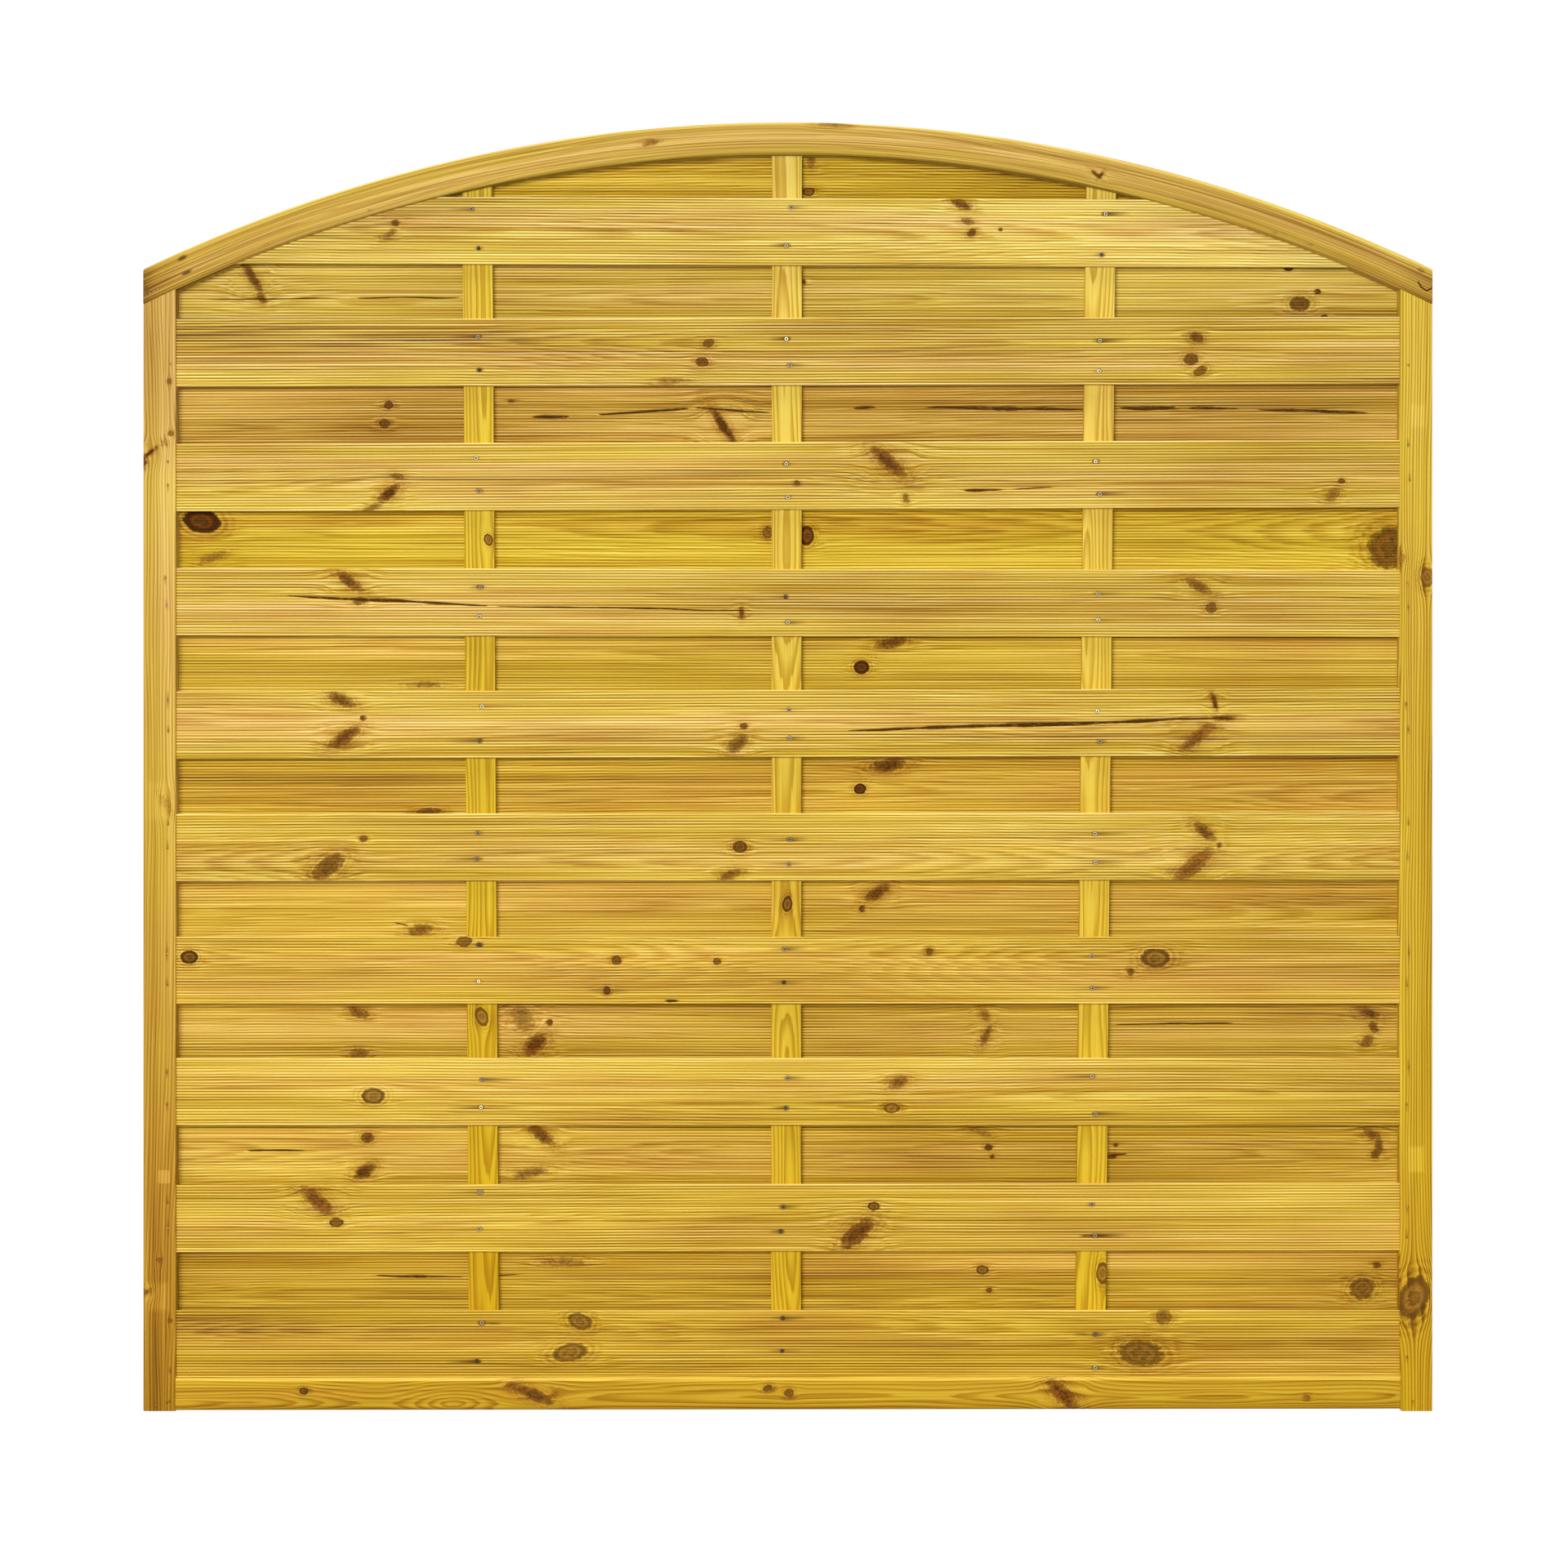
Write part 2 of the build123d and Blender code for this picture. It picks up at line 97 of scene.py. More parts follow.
# how stained each nail head is: 0 a clean ring, 1 a dark sunk spot
NAIL_DULL = [
    (0.6, 1.0, 0.5, 0.35, 0.25, 0.8), (0.5, 1.0, 0.1, 0.45, 0.3, 0.1), (0.3, 0.55, 0.25, 0.3, 0.05, 0.35),
    (0.5, 0.3, 0.9, 0.25, 0.35, 0.15), (0.25, 0.8, 0.45, 0.45, 0.0, 0.5), (0.6, 0.6, 0.6, 0.5, 0.2, 0.25),
    (0.9, 0.0, 0.5, 1.0, 0.45, 0.4), (0.55, 0.0, 0.5, 0.8, 0.25, 0.4), (0.35, 0.35, 0.8, 0.9, 0.5, 0.45),
    (0.35, 1.0, 0.9, 0.9, 0.7, 0.2),
]
# how strong the dark lens round it is
NAIL_LENS = [
    (0.7, 0.4, 0.5, 0.9, 1.0, 0.6), (0.8, 0.6, 1.0, 0.5, 0.9, 0.3), (0.3, 0.6, 0.8, 0.4, 0.8, 0.8),
    (0.9, 0.2, 0.6, 0.6, 0.5, 0.3), (0.3, 0.9, 0.3, 0.6, 0.1, 0.6), (0.5, 0.8, 0.8, 0.5, 0.8, 0.4),
    (1.0, 0.3, 0.8, 0.7, 0.4, 0.6), (0.7, 0.8, 0.6, 0.8, 0.8, 0.8), (0.8, 0.4, 0.8, 0.8, 0.4, 1.0),
    (0.9, 1.0, 0.8, 0.6, 0.9, 0.7),
]
REAR_NAIL_STEPS = {
    "left": [(2.0, 21.0), (-3.0, -22.5)],
    "centre": [(-2.5, 23.0), (3.5, -20.0)],
    "right": [(1.0, 19.5), (-2.0, -24.0)],
}
PINS_LEFT = [
    (-866.8, 1502.3), (-861.9, 1461.6), (-865.5, 1325.6), (-865.5, 1292.6), (-869.2, 1163.3),
    (-866.9, 1122.2), (-865.8, 992.6), (-865.1, 950.2), (-865.1, 819.5), (-866.0, 785.9),
    (-866.6, 639.0), (-866.3, 594.7), (-866.6, 473.1), (-866.6, 428.3), (-866.1, 290.7),
    (-865.4, 255.3), (-861.1, 126.0), (-862.2, 56.0), (-866.8, 11.5), (-863.2, 13.2), (-882.4, 8.5),
]
PINS_RIGHT = [
    (862.8, 1504.8), (866.2, 1460.0), (866.1, 1348.6), (868.3, 1299.7), (865.0, 1153.7),
    (866.1, 1121.6), (863.1, 987.2), (866.2, 951.2), (866.2, 819.9), (865.1, 772.3),
    (867.2, 639.0), (864.6, 593.8), (866.7, 479.6), (864.1, 428.3), (865.0, 285.0),
    (864.1, 242.6), (867.8, 122.0), (864.3, 74.7), (872.5, 13.7),
]
PINS_ARCH = [
    (-845.1, 1609.5), (-839.1, 1589.3), (-890.5, 1560.6), (-885.1, 1564.1), (-879.9, 1566.7),
    (883.8, 1592.6), (885.5, 1567.0), (-728.2, 1627.9), (-584.5, 1676.2), (680.9, 1645.0),
    (729.9, 1627.9),
]
PINS_ARCH_REAR = [
    (-887.0, 1563.0), (-881.5, 1566.2), (887.0, 1563.0), (881.5, 1566.2),
    (-660.0, 1653.3), (-430.0, 1717.2), (430.0, 1717.2), (660.0, 1653.3),
]


def batten_x(name, z):
    x1, x0 = BATTEN_X[name]
    return x0 + (x1 - x0) * (z - 179.0) / (1562.0 - 179.0)


REAR_NAILS = []
for i, (zl, zr) in enumerate(REAR_Z):
    places = []
    for j, name in enumerate(BATTEN_X):
        xb = batten_x(name, (zl + zr) / 2)
        zc = zl + (zr - zl) * (xb + INNER_X) / (2 * INNER_X) + SLAT_H / 2
        for k, (dx, dz) in enumerate(REAR_NAIL_STEPS[name]):
            if i == 0:
                if name != "centre":
                    if k == 1:
                        continue
                    dz = -37.0
                else:
                    dz = (-8.0, -34.0)[k]
            wob = 2.2 * math.sin(3.1 * i + 1.7 * j + 2.3 * k)
            places.append((round(xb + dx + wob, 2), round(zc + dz + (0 if i == 0 else wob), 2)))
    REAR_NAILS.append(places)

REAR_PINS = []
for i, (zl, zr) in enumerate(REAR_Z[1:]):
    for sx, z0 in ((-1, zl), (1, zr)):
        for k, dz in enumerate((26.0, 69.0)):
            if i == 0:
                dz = (10.0, 27.0)[k]
            REAR_PINS.append((round(sx * (865.5 + 1.8 * math.sin(2.0 * i + 3 * k + sx)), 2),
                              round(z0 + dz + 3.0 * math.sin(1.3 * i + k), 2)))
REAR_PINS += [(-865.0, 12.5), (-866.5, 33.0), (865.0, 14.0), (866.0, 35.0)]


# ------------------------------------------------------------------ small tools
def at(xp, yp, depth):
    """place on the panel, in mm, of a point seen at (xp, yp) in the 1920 frame, depth mm behind the front"""
    s = 1.140 * (5600.0 + depth) / 5600.0
    return (xp - 960.0) * s - 5.4, (960.0 - yp) * s + 875.5


D_FRAME, D_SLAT, D_BATTEN, D_REAR = 0.0, 7.5, 14.5, 30.5


def noise1(x, seed, scale):
    """smooth wander along x, -1..1, seeded"""
    tab = np.random.default_rng(seed).uniform(-1, 1, 1024)
    t = np.asarray(x, float) / scale + 500.0
    i = np.floor(t).astype(int)
    f = t - i
    f = f * f * (3 - 2 * f)
    return tab[i % 1024] * (1 - f) + tab[(i + 1) % 1024] * f


def noise2(x, y, seed, sx, sy):
    tab = np.random.default_rng(seed).uniform(-1, 1, (256, 256))
    tx, ty = np.asarray(x, float) / sx + 400.0, np.asarray(y, float) / sy + 400.0
    i, j = np.floor(tx).astype(int), np.floor(ty).astype(int)
    f, g = tx - i, ty - j
    f, g = f * f * (3 - 2 * f), g * g * (3 - 2 * g)
    a, b, c, d = (tab[(i + di) % 256, (j + dj) % 256] for di, dj in ((0, 0), (1, 0), (0, 1), (1, 1)))
    return (a * (1 - f) + b * f) * (1 - g) + (c * (1 - f) + d * f) * g


def spread(lo, hi, step):
    n = max(1, int(math.ceil((hi - lo) / step)))
    return list(np.linspace(lo, hi, n + 1))


def clean(values, least):
    """sorted, with near twins dropped"""
    out = []
    for v in sorted(values):
        if not out or v - out[-1] >= least:
            out.append(v)
    return out


def mesh_piece(name, V, attrs, strips=3, cuts=None, caps=True, flip=False, sharp=38.0, boxes=()):
    """a closed skin from rings: V is (stations, ring points, 3) in mm. attrs are (stations, ring points, 3).
    cuts are the stations where the unrolled skin starts a new strip of its map."""
    S, N = V.shape[:2]
    flat = V.reshape(-1, 3)
    key = np.round(flat / 1e-4).astype(np.int64)
    _, first, inv = np.unique(key, axis=0, return_index=True, return_inverse=True)
    inv = inv.reshape(-1)
    order = np.argsort(np.argsort(first))
    ids = order[inv]                       # merged vertex of each grid point
    keep = np.sort(first)
    co = flat[keep]

    s, n = np.meshgrid(np.arange(S - 1), np.arange(N), indexing="ij")
    s, n = s.ravel(), n.ravel()
    m = (n + 1) % N
    quads = np.stack([s * N + n, (s + 1) * N + n, (s + 1) * N + m, s * N + m], 1)
    if flip:
        quads = quads[:, ::-1]
    # places on the unrolled skin
    ring = np.zeros(N + 1)
    mid = V[S // 2]
    ring[1:] = np.cumsum(np.linalg.norm(np.roll(mid, -1, 0) - mid, axis=1))
    along = np.zeros(S)
    along[1:] = np.cumsum(np.linalg.norm(np.diff(V.mean(1), axis=0), axis=1))
    if cuts is None:
        cuts = [int(np.searchsorted(along, along[-1] * k / strips)) for k in range(1, strips)]
    edges = [0] + list(cuts) + [S - 1]
    strip = np.searchsorted(np.array(edges[1:-1]), np.arange(S - 1), side="right") if len(edges) > 2 else np.zeros(S - 1, int)
    e0, e1 = np.array(edges)[strip], np.array(edges)[strip + 1]
    longest = max(along[b] - along[a] for a, b in zip(edges, edges[1:]))
    high = (ring[-1] + 3.0) * (len(edges) - 1)
    cu = []
    for ds, dn in ((0, 0), (1, 0), (1, 1), (0, 1)):
        u = (along[s + ds] - along[e0[s]]) / longest * 0.97 + 0.003
        v = ((ring[-1] + 3.0) * strip[s] + 1.5 + ring[n + dn]) / high
        cu.append(np.stack([u, v], 1))
    cu = np.stack(cu, 1)
    if flip:
        cu = cu[:, ::-1]
    q = ids[quads]
    same = np.stack([q[:, k] == q[:, (k + 1) % 4] for k in range(4)], 1)
    cnt = same.sum(1)
    across = (q[:, 0] == q[:, 2]) | (q[:, 1] == q[:, 3])
    good4 = (cnt == 0) & ~across
    good3 = (cnt == 1) & ~across
    faces = [list(f) for f in q[good4]]
    fuv = [c for c in cu[good4]]
    for f, sm, c in zip(q[good3], same[good3], cu[good3]):
        k = [i for i in range(4) if not sm[i]]
        faces.append([f[i] for i in k])
        fuv.append(c[k])
    if caps:
        for st, rev in ((0, False), (S - 1, True)):
            loop = []
            for g in range(N):
                v = ids[st * N + g]
                if v not in loop:
                    loop.append(v)
            if len(loop) >= 3:
                if rev != flip:
                    loop = loop[::-1]
                pts = co[loop]
                c2 = pts - pts.mean(0)
                ax = np.argsort(-np.ptp(c2, axis=0))[:2]
                uv = 0.985 + 0.012 * (c2[:, ax] / (np.abs(c2).max() + 1e-6)) * np.array([0.9, 0.9])
                uv[:, 1] -= 0.5 * (0.5 if rev else 1.0)
                faces.append(loop)
                fuv.append(uv)
    at_arr = {k: a.reshape(-1, 3)[keep] for k, a in attrs.items()}
    for b, (lo8, battrs) in enumerate(boxes):
        base = len(co)
        co = np.vstack([co, lo8])
        for f in ((0, 1, 2, 3), (7, 6, 5, 4), (0, 4, 5, 1), (1, 5, 6, 2), (2, 6, 7, 3), (3, 7, 4, 0)):
            faces.append([base + i for i in f])
            fuv.append(np.array([[0.98, 0.02], [0.99, 0.02], [0.99, 0.03], [0.98, 0.03]]) + b * 0.001)
        for k in at_arr:
            at_arr[k] = np.vstack([at_arr[k], np.repeat(np.array([battrs[k]]), 8, 0)])
    me = bpy.data.meshes.new(name)
    sizes = np.array([len(f) for f in faces])
    loops = np.concatenate([np.asarray(f) for f in faces]).astype(np.int32)
    me.vertices.add(len(co))
    me.vertices.foreach_set("co", (co * 0.001).astype(np.float32).ravel())
    me.loops.add(len(loops))
    me.loops.foreach_set("vertex_index", loops)
    me.polygons.add(len(sizes))
    me.polygons.foreach_set("loop_start", np.concatenate([[0], np.cumsum(sizes)[:-1]]).astype(np.int32))
    me.update(calc_edges=True)
    layer = me.uv_layers.new(name="OFBake")
    layer.uv.foreach_set("vector", np.concatenate(fuv).astype(np.float32).ravel())
    for k, a in at_arr.items():
        layer = me.attributes.new(k, "FLOAT_VECTOR", "POINT")
        layer.data.foreach_set("vector", a.astype(np.float32).ravel())
    me.validate()
    me.shade_smooth()
    me.set_sharp_from_angle(angle=math.radians(sharp))
    ob = bpy.data.objects.new(name, me)
    bpy.context.scene.collection.objects.link(ob)
    return ob


def box_of(x0, x1, y0, y1, zfun0, zfun1):
    """eight corners of a block whose foot and head follow two heights"""
    c = [(x0, y0), (x0, y1), (x1, y1), (x1, y0)]
    return np.array([(x, y, zfun0(x)) for x, y in c] + [(x, y, zfun1(x)) for x, y in c])


# ------------------------------------------------------------------ grain, rings and knots
def wood_attrs(A, B, C, spec, valley=None, crack=None, stain=None, a0=None):
    """A runs along the grain, B across the face, C into the depth (mm). Returns the skin's attributes.
    spec: seed, ring spacing, pith place, heart band and knots (a, b, ra, rb, angle, dark, red, hard)."""
    seed = spec["seed"]
    knots = spec.get("knots", ())
    Bd = B + spec.get("wave", 1.2) * noise2(A, B, seed + 3, 260.0, 40.0) + spec.get("slope", 0.0) * A
    kv = np.zeros(A.shape + (3,))
    kp = np.zeros(A.shape + (3,))
    best = np.full(A.shape, 1e9)
    whose = np.full(A.shape, -1)
    push = np.zeros(A.shape)
    for who, (ka, kb, ra, rb, ang, dark, red, hard) in enumerate(knots):
        t = math.radians(ang)
        dx, dz = A - ka, B - kb
        ex = (dx * math.cos(t) + dz * math.sin(t)) / ra
        ez = (-dx * math.sin(t) + dz * math.cos(t)) / rb
        if spec.get("deep"):
            ec = (C - spec.get("deep_at", 0.0)) / spec["deep"]
            r = np.sqrt(ex * ex + ez * ez + ec * ec)
            grow = r / np.maximum(np.sqrt(ex * ex + ez * ez), 1e-6)
            ex, ez = ex * grow, ez * grow
        r = np.hypot(ex, ez)
        near = r < best
        best = np.where(near, r, best)
        whose = np.where(near, who, whose)
        kv[..., 0] = np.where(near, ex, kv[..., 0])
        kv[..., 1] = np.where(near, ez, kv[..., 1])
        kp[..., 0] = np.where(near, dark, kp[..., 0])
        kp[..., 1] = np.where(near, red, kp[..., 1])
        kp[..., 2] = np.where(near, hard, kp[..., 2])
        # the grain swells round the knot
        ha = math.hypot(ra * math.cos(t), rb * math.sin(t))
        hb = math.hypot(ra * math.sin(t), rb * math.cos(t))
        fx, fz = dx / (1.5 * ha + 4.0), dz / (1.05 * hb + 0.8)
        r2 = fx * fx + fz * fz
        push = push - dz * 0.72 / np.maximum(r2, 1.0) * np.exp(-0.3 * np.maximum(r2 - 1.0, 0.0))
    kv[..., 2] = np.clip((3.4 - best) / 0.9, 0, 1)
    # where one knot's reach meets the next one's, neither is drawn
    if A.shape[0] > 1:
        meet = np.zeros(A.shape, bool)
        step = whose[1:] != whose[:-1]
        meet[1:] |= step
        meet[:-1] |= step
        step = whose != np.roll(whose, 1, 1)
        meet |= step | np.roll(step, -1, 1)
        kv[..., 2] = np.where(meet & (best > 1.2), 0.0, kv[..., 2])
    Bd = Bd + push
    vc = spec.get("pith", 0.0) + 10.0 * noise1(A, seed + 5, 600.0)
    dd = spec.get("deeppith", 40.0) * (1 + spec.get("flame", 0.35) * noise1(A, seed + 6, spec.get("flame_len", 500.0)))
    R = np.sqrt((Bd - vc) ** 2 + (dd + C) ** 2) / spec.get("ring", 3.6)
    R = R + 0.5 * noise2(A, B, seed + 8, 120.0, 12.0)
    heart = np.zeros(A.shape)
    if "heart" in spec:
        for hc, hw, amount in spec["heart"]:
            mid = hc + 8.0 * noise1(A, seed + 9, 420.0)
            wid = hw * (1 + 0.3 * noise1(A, seed + 10, 350.0))
            heart = np.maximum(heart, amount * np.clip((wid - np.abs(Bd - mid)) / 9.0 + 0.5, 0, 1))
    tone = noise2(A, Bd, seed + 12, 500.0, 26.0)
    zero = np.zeros(A.shape)
    off = np.array([seed * 0.731, seed * 0.113, seed * 0.271])
    return {
        "grain": np.stack([A, Bd, C], -1) * 0.001 + off,
        "rings": np.stack([R, heart, tone], -1),
        "knot": kv,
        "knotp": kp,
        # the first of these three is painted shade in the reed valleys (dark glue lines on the arch), then cracks, then
        # stains
        "wear": np.stack([zero if valley is None else valley, zero if crack is None else crack,
                          zero if stain is None else stain], -1),
    }


FLAT_ATTRS = {"grain": (0.3, 0.1, 0.0), "rings": (0.4, 0.0, 0.0), "knot": (9.0, 9.0, 0.0),
              "knotp": (0.0, 0.0, 0.0), "wear": (0.3, 0.0, 0.0)}


# ------------------------------------------------------------------ wood material
def srgb(r, g, b):
    def lin(c):
        c /= 255.0
        return c / 12.92 if c <= 0.04045 else ((c + 0.055) / 1.055) ** 2.4
    return (lin(r), lin(g), lin(b), 1.0)


class Nodes:
    """short hand for a node tree"""

    def __init__(self, mat):
        mat.use_nodes = True
        self.t = mat.node_tree
        self.t.nodes.clear()

    def new(self, kind, **props):
        n = self.t.nodes.new(kind)
        for k, v in props.items():
            setattr(n, k, v)
        return n

    def put(self, socket, value):
        if isinstance(value, bpy.types.NodeSocket):
            self.t.links.new(value, socket)
        else:
            socket.default_value = value

    def math(self, op, a, b=0.0, c=0.0, clamp=False):
        n = self.new("ShaderNodeMath", operation=op, use_clamp=clamp)
        for i, v in enumerate((a, b, c)):
            self.put(n.inputs[i], v)
        return n.outputs[0]

    def ramp01(self, v, lo, hi, smooth=True):
        n = self.new("ShaderNodeMapRange", interpolation_type="SMOOTHSTEP" if smooth else "LINEAR")
        self.put(n.inputs["Value"], v)
        n.inputs["From Min"].default_value = lo
        self.put(n.inputs["From Max"], hi)
        return n.outputs["Result"]

    def mix(self, fac, a, b, blend="MIX"):
        n = self.new("ShaderNodeMix", data_type="RGBA", blend_type=blend, clamp_factor=True)
        self.put(n.inputs[0], fac)
        self.put(n.inputs[6], a)
        self.put(n.inputs[7], b)
        return n.outputs[2]

    def scaled(self, vec, s):
        n = self.new("ShaderNodeVectorMath", operation="MULTIPLY")
        self.put(n.inputs[0], vec)
        n.inputs[1].default_value = s
        return n.outputs[0]

    def noise(self, vec, detail, rough=0.5):
        n = self.new("ShaderNodeTexNoise")
        self.put(n.inputs["Vector"], vec)
        n.inputs["Scale"].default_value = 1.0
        n.inputs["Detail"].default_value = detail
        n.inputs["Roughness"].default_value = rough
        return n.outputs["Fac"]

    def attr(self, name):
        n = self.new("ShaderNodeAttribute", attribute_type="GEOMETRY", attribute_name=name)
        s = self.new("ShaderNodeSeparateXYZ")
        self.t.links.new(n.outputs["Vector"], s.inputs[0])
        return n.outputs["Vector"], s.outputs[0], s.outputs[1], s.outputs[2]

    def colours(self, fac, stops):
        n = self.new("ShaderNodeValToRGB")
        r = n.color_ramp
        while len(r.elements) < len(stops):
            r.elements.new(0.5)
        for e, (p, c) in zip(r.elements, stops):
            e.position = p
            e.color = c
        self.put(n.inputs[0], fac)
        return n.outputs[0]


SAP = [(0.0, srgb(116, 78, 14)), (0.16, srgb(156, 116, 32)), (0.36, srgb(184, 149, 44)),
       (0.56, srgb(207, 177, 70)), (0.77, srgb(231, 203, 106)), (1.0, srgb(251, 229, 150))]
HEART = [(0.0, srgb(108, 70, 14)), (0.16, srgb(152, 110, 36)), (0.36, srgb(184, 143, 54)),
         (0.56, srgb(209, 169, 84)), (0.77, srgb(232, 196, 118)), (1.0, srgb(250, 221, 156))]


def wood(name, tint=(1.0, 1.0, 1.0), level=0.5, late=0.12, valley=0.28, big=1.0, mid=1.0, fine=1.0,
         heart=0.0, line=0.6, reeds=0.0, rise=(0.58, 0.47)):
    """level: how pale; late: strength of the ring lines; valley: how dark the valleys are painted, as painted shade in
    the reeds' valleys and as dark glue lines on a timber without reeds;
    reeds: how much one reed differs from the next"""
    mat = bpy.data.materials.new(name)
    g = Nodes(mat)
    grain, gu, gv, gw = g.attr("grain")
    _, ring, heart_at, tone = g.attr("rings")
    _, kx, kz, gate = g.attr("knot")
    _, kdark, kred, khard = g.attr("knotp")
    _, dip, crack, stain = g.attr("wear")

    n_big = g.math("SUBTRACT", g.noise(g.scaled(grain, (0.9, 22.0, 22.0)), 2.0), 0.5)
    n_wide = g.math("SUBTRACT", g.noise(g.scaled(grain, (3.0, 13.0, 13.0)), 3.0, 0.55), 0.5)
    n_mid = g.math("SUBTRACT", g.noise(g.scaled(grain, (0.8, 180.0, 180.0)), 2.0, 0.5), 0.5)
    n_str = g.math("SUBTRACT", g.noise(g.scaled(grain, (2.6, 560.0, 560.0)), 2.0, 0.5), 0.5)

    # knots: how far from the middle, with a ragged outline
    k2 = g.math("ADD", g.math("MULTIPLY", kx, kx), g.math("MULTIPLY", kz, kz))
    kr = g.math("SQRT", k2)
    n_kn = g.math("SUBTRACT", g.noise(g.scaled(grain, (120.0, 430.0, 430.0)), 2.0, 0.6), 0.5)
    n_in = g.math("SUBTRACT", g.noise(g.scaled(grain, (260.0, 900.0, 900.0)), 2.0, 0.6), 0.5)
    soft = g.math("MULTIPLY_ADD", khard, -0.75, 1.1)
    krr = g.math("ADD", kr, g.math("MULTIPLY", g.math("MULTIPLY_ADD", n_in, 0.7, n_kn), soft))
    edge = g.math("MULTIPLY_ADD", khard, 0.36, 0.58)
    core = g.math("MULTIPLY", g.ramp01(krr, 1.14, edge), gate)
    eye = g.math("MULTIPLY", g.math("MULTIPLY", g.ramp01(krr, 0.46, 0.1), gate), g.math("MULTIPLY", khard, kdark))
    heart_of = g.math("MULTIPLY", g.ramp01(krr, 0.75, 0.3), gate)
    curl = g.math("SINE", g.math("MULTIPLY", krr, 14.0))
    halo = g.math("MULTIPLY", g.ramp01(krr, 2.5, 0.95), gate)
    halo = g.math("MULTIPLY", halo, g.math("MULTIPLY_ADD", khard, -0.35, 1.0))
    rim = g.math("MULTIPLY", g.math("MULTIPLY", g.ramp01(krr, 0.66, 0.96), g.ramp01(krr, 1.2, 1.0)), gate)
    inner = g.math("MULTIPLY", g.ramp01(krr, 0.75, 0.15), gate)

    # late wood: slow rise and a sharp end in each ring
    rr = g.math("FRACT", g.math("ADD", ring, g.math("MULTIPLY", n_mid, 0.7)))
    lat = g.math("MULTIPLY", g.ramp01(rr, 0.25, 0.86), g.ramp01(rr, 1.0, 0.9))

    t = g.math("ADD", level, g.math("MULTIPLY", n_big, 0.70 * big))
    t = g.math("ADD", t, g.math("MULTIPLY", n_mid, 0.58 * mid))
    t = g.math("ADD", t, g.math("MULTIPLY", n_str, 0.88 * fine))
    t = g.math("ADD", t, g.math("MULTIPLY", tone, 0.05))
    t = g.math("ADD", t, g.math("MULTIPLY", n_wide, 0.34 * big))
    ring_amt = g.math("MULTIPLY_ADD", halo, 1.3, 1.0)
    t = g.math("SUBTRACT", t, g.math("MULTIPLY", g.math("MULTIPLY", lat, ring_amt), late))
    # painted shade in the reeds' valleys, unevenly dark, and a painted highlight on the paler crests; without reeds,
    # dark glue lines
    if reeds > 0.0:
        n_reed = g.math("SUBTRACT", g.noise(g.scaled(grain, (1.8, 250.0, 0.0)), 1.0), 0.5)
        t = g.math("ADD", t, g.math("MULTIPLY", n_reed, reeds))
        uneven = g.math("MULTIPLY_ADD", n_str, 2.4, g.math("MULTIPLY_ADD", n_reed, 2.0, 1.0))
        dip2 = g.math("MULTIPLY", g.math("POWER", dip, 1.5), uneven)
        t = g.math("SUBTRACT", t, g.math("MULTIPLY", dip2, valley))
        crest = g.ramp01(dip, 0.26, 0.0)
        t = g.math("ADD", t, g.math("MULTIPLY", crest, 0.05))
    else:
        t = g.math("SUBTRACT", t, g.math("MULTIPLY", g.math("MULTIPLY", dip, dip), valley))
    t = g.math("SUBTRACT", t, g.math("MULTIPLY", g.math("MULTIPLY", halo, kdark), 0.08))
    t = g.math("SUBTRACT", t, g.math("MULTIPLY", g.math("MULTIPLY", halo, curl), g.math("MULTIPLY_ADD", khard, 0.10, g.math("MULTIPLY_ADD", kdark, 0.10, 0.05))))

    hmask = g.math("MULTIPLY_ADD", n_wide, -2.2, g.math("MULTIPLY_ADD", n_big, 1.3, heart_at))
    hmask = g.math("ADD", hmask, heart, clamp=True)
    tc = g.math("ADD", t, 0.0, clamp=True)
    col = g.mix(hmask, g.colours(tc, SAP), g.colours(tc, HEART))
    # clouds of a greener yellow and of a warmer one
    col = g.mix(g.math("MULTIPLY", g.ramp01(n_wide, 0.02, 0.22), 0.34 * big), col, srgb(255, 252, 206), "MULTIPLY")
    col = g.mix(g.math("MULTIPLY", g.ramp01(n_wide, -0.03, -0.22), 0.34 * big), col, srgb(255, 240, 236), "MULTIPLY")
    # warm lines where the late wood runs
    col = g.mix(g.math("MULTIPLY", lat, 0.4 * line), col, srgb(214, 168, 96), "MULTIPLY")
    # painted highlight in cream on the reed crests, and painted shade as a darker, warmer tint down in the valleys
    if reeds > 0.0:
        n_pale = g.noise(g.scaled(grain, (1.6, 420.0, 0.0)), 2.0)
        pale = g.math("MULTIPLY", g.ramp01(n_pale, 0.42, 0.78), 0.54)
        col = g.mix(g.math("MULTIPLY", crest, pale), col, srgb(250, 230, 172))
        col = g.mix(g.math("MULTIPLY", g.math("POWER", dip, 1.5, clamp=True), 0.4), col, srgb(228, 204, 184), "MULTIPLY")
    # painted highlight where edges face up to the light (the slats' tops, the rail's top, the arch's outer edge), and
    # pale patches of the wood on the stiles
    col = g.mix(g.math("MULTIPLY", g.ramp01(tone, 1.9, 6.5), 0.8), col, srgb(252, 228, 172))
    # painted light: the colour is multiplied by height, paler and bluer towards the top and deeper yellow near the
    # ground, as the light falls on the panel, together with the piece's own tint
    high = g.new("ShaderNodeSeparateXYZ")
    g.put(high.inputs[0], g.new("ShaderNodeTexCoord").outputs["Object"])
    tint_and_height_light = g.new("ShaderNodeCombineXYZ")
    tint_and_height_light.inputs[0].default_value = tint[0]
    g.put(tint_and_height_light.inputs[1], g.math("MULTIPLY_ADD", high.outputs[2], 0.075 * tint[1], 0.955 * tint[1]))
    g.put(tint_and_height_light.inputs[2], g.math("MULTIPLY_ADD", high.outputs[2], rise[1] * tint[2], rise[0] * tint[2]))
    times = g.new("ShaderNodeVectorMath", operation="MULTIPLY")
    g.put(times.inputs[0], col)
    g.put(times.inputs[1], tint_and_height_light.outputs[0])
    col = times.outputs[0]
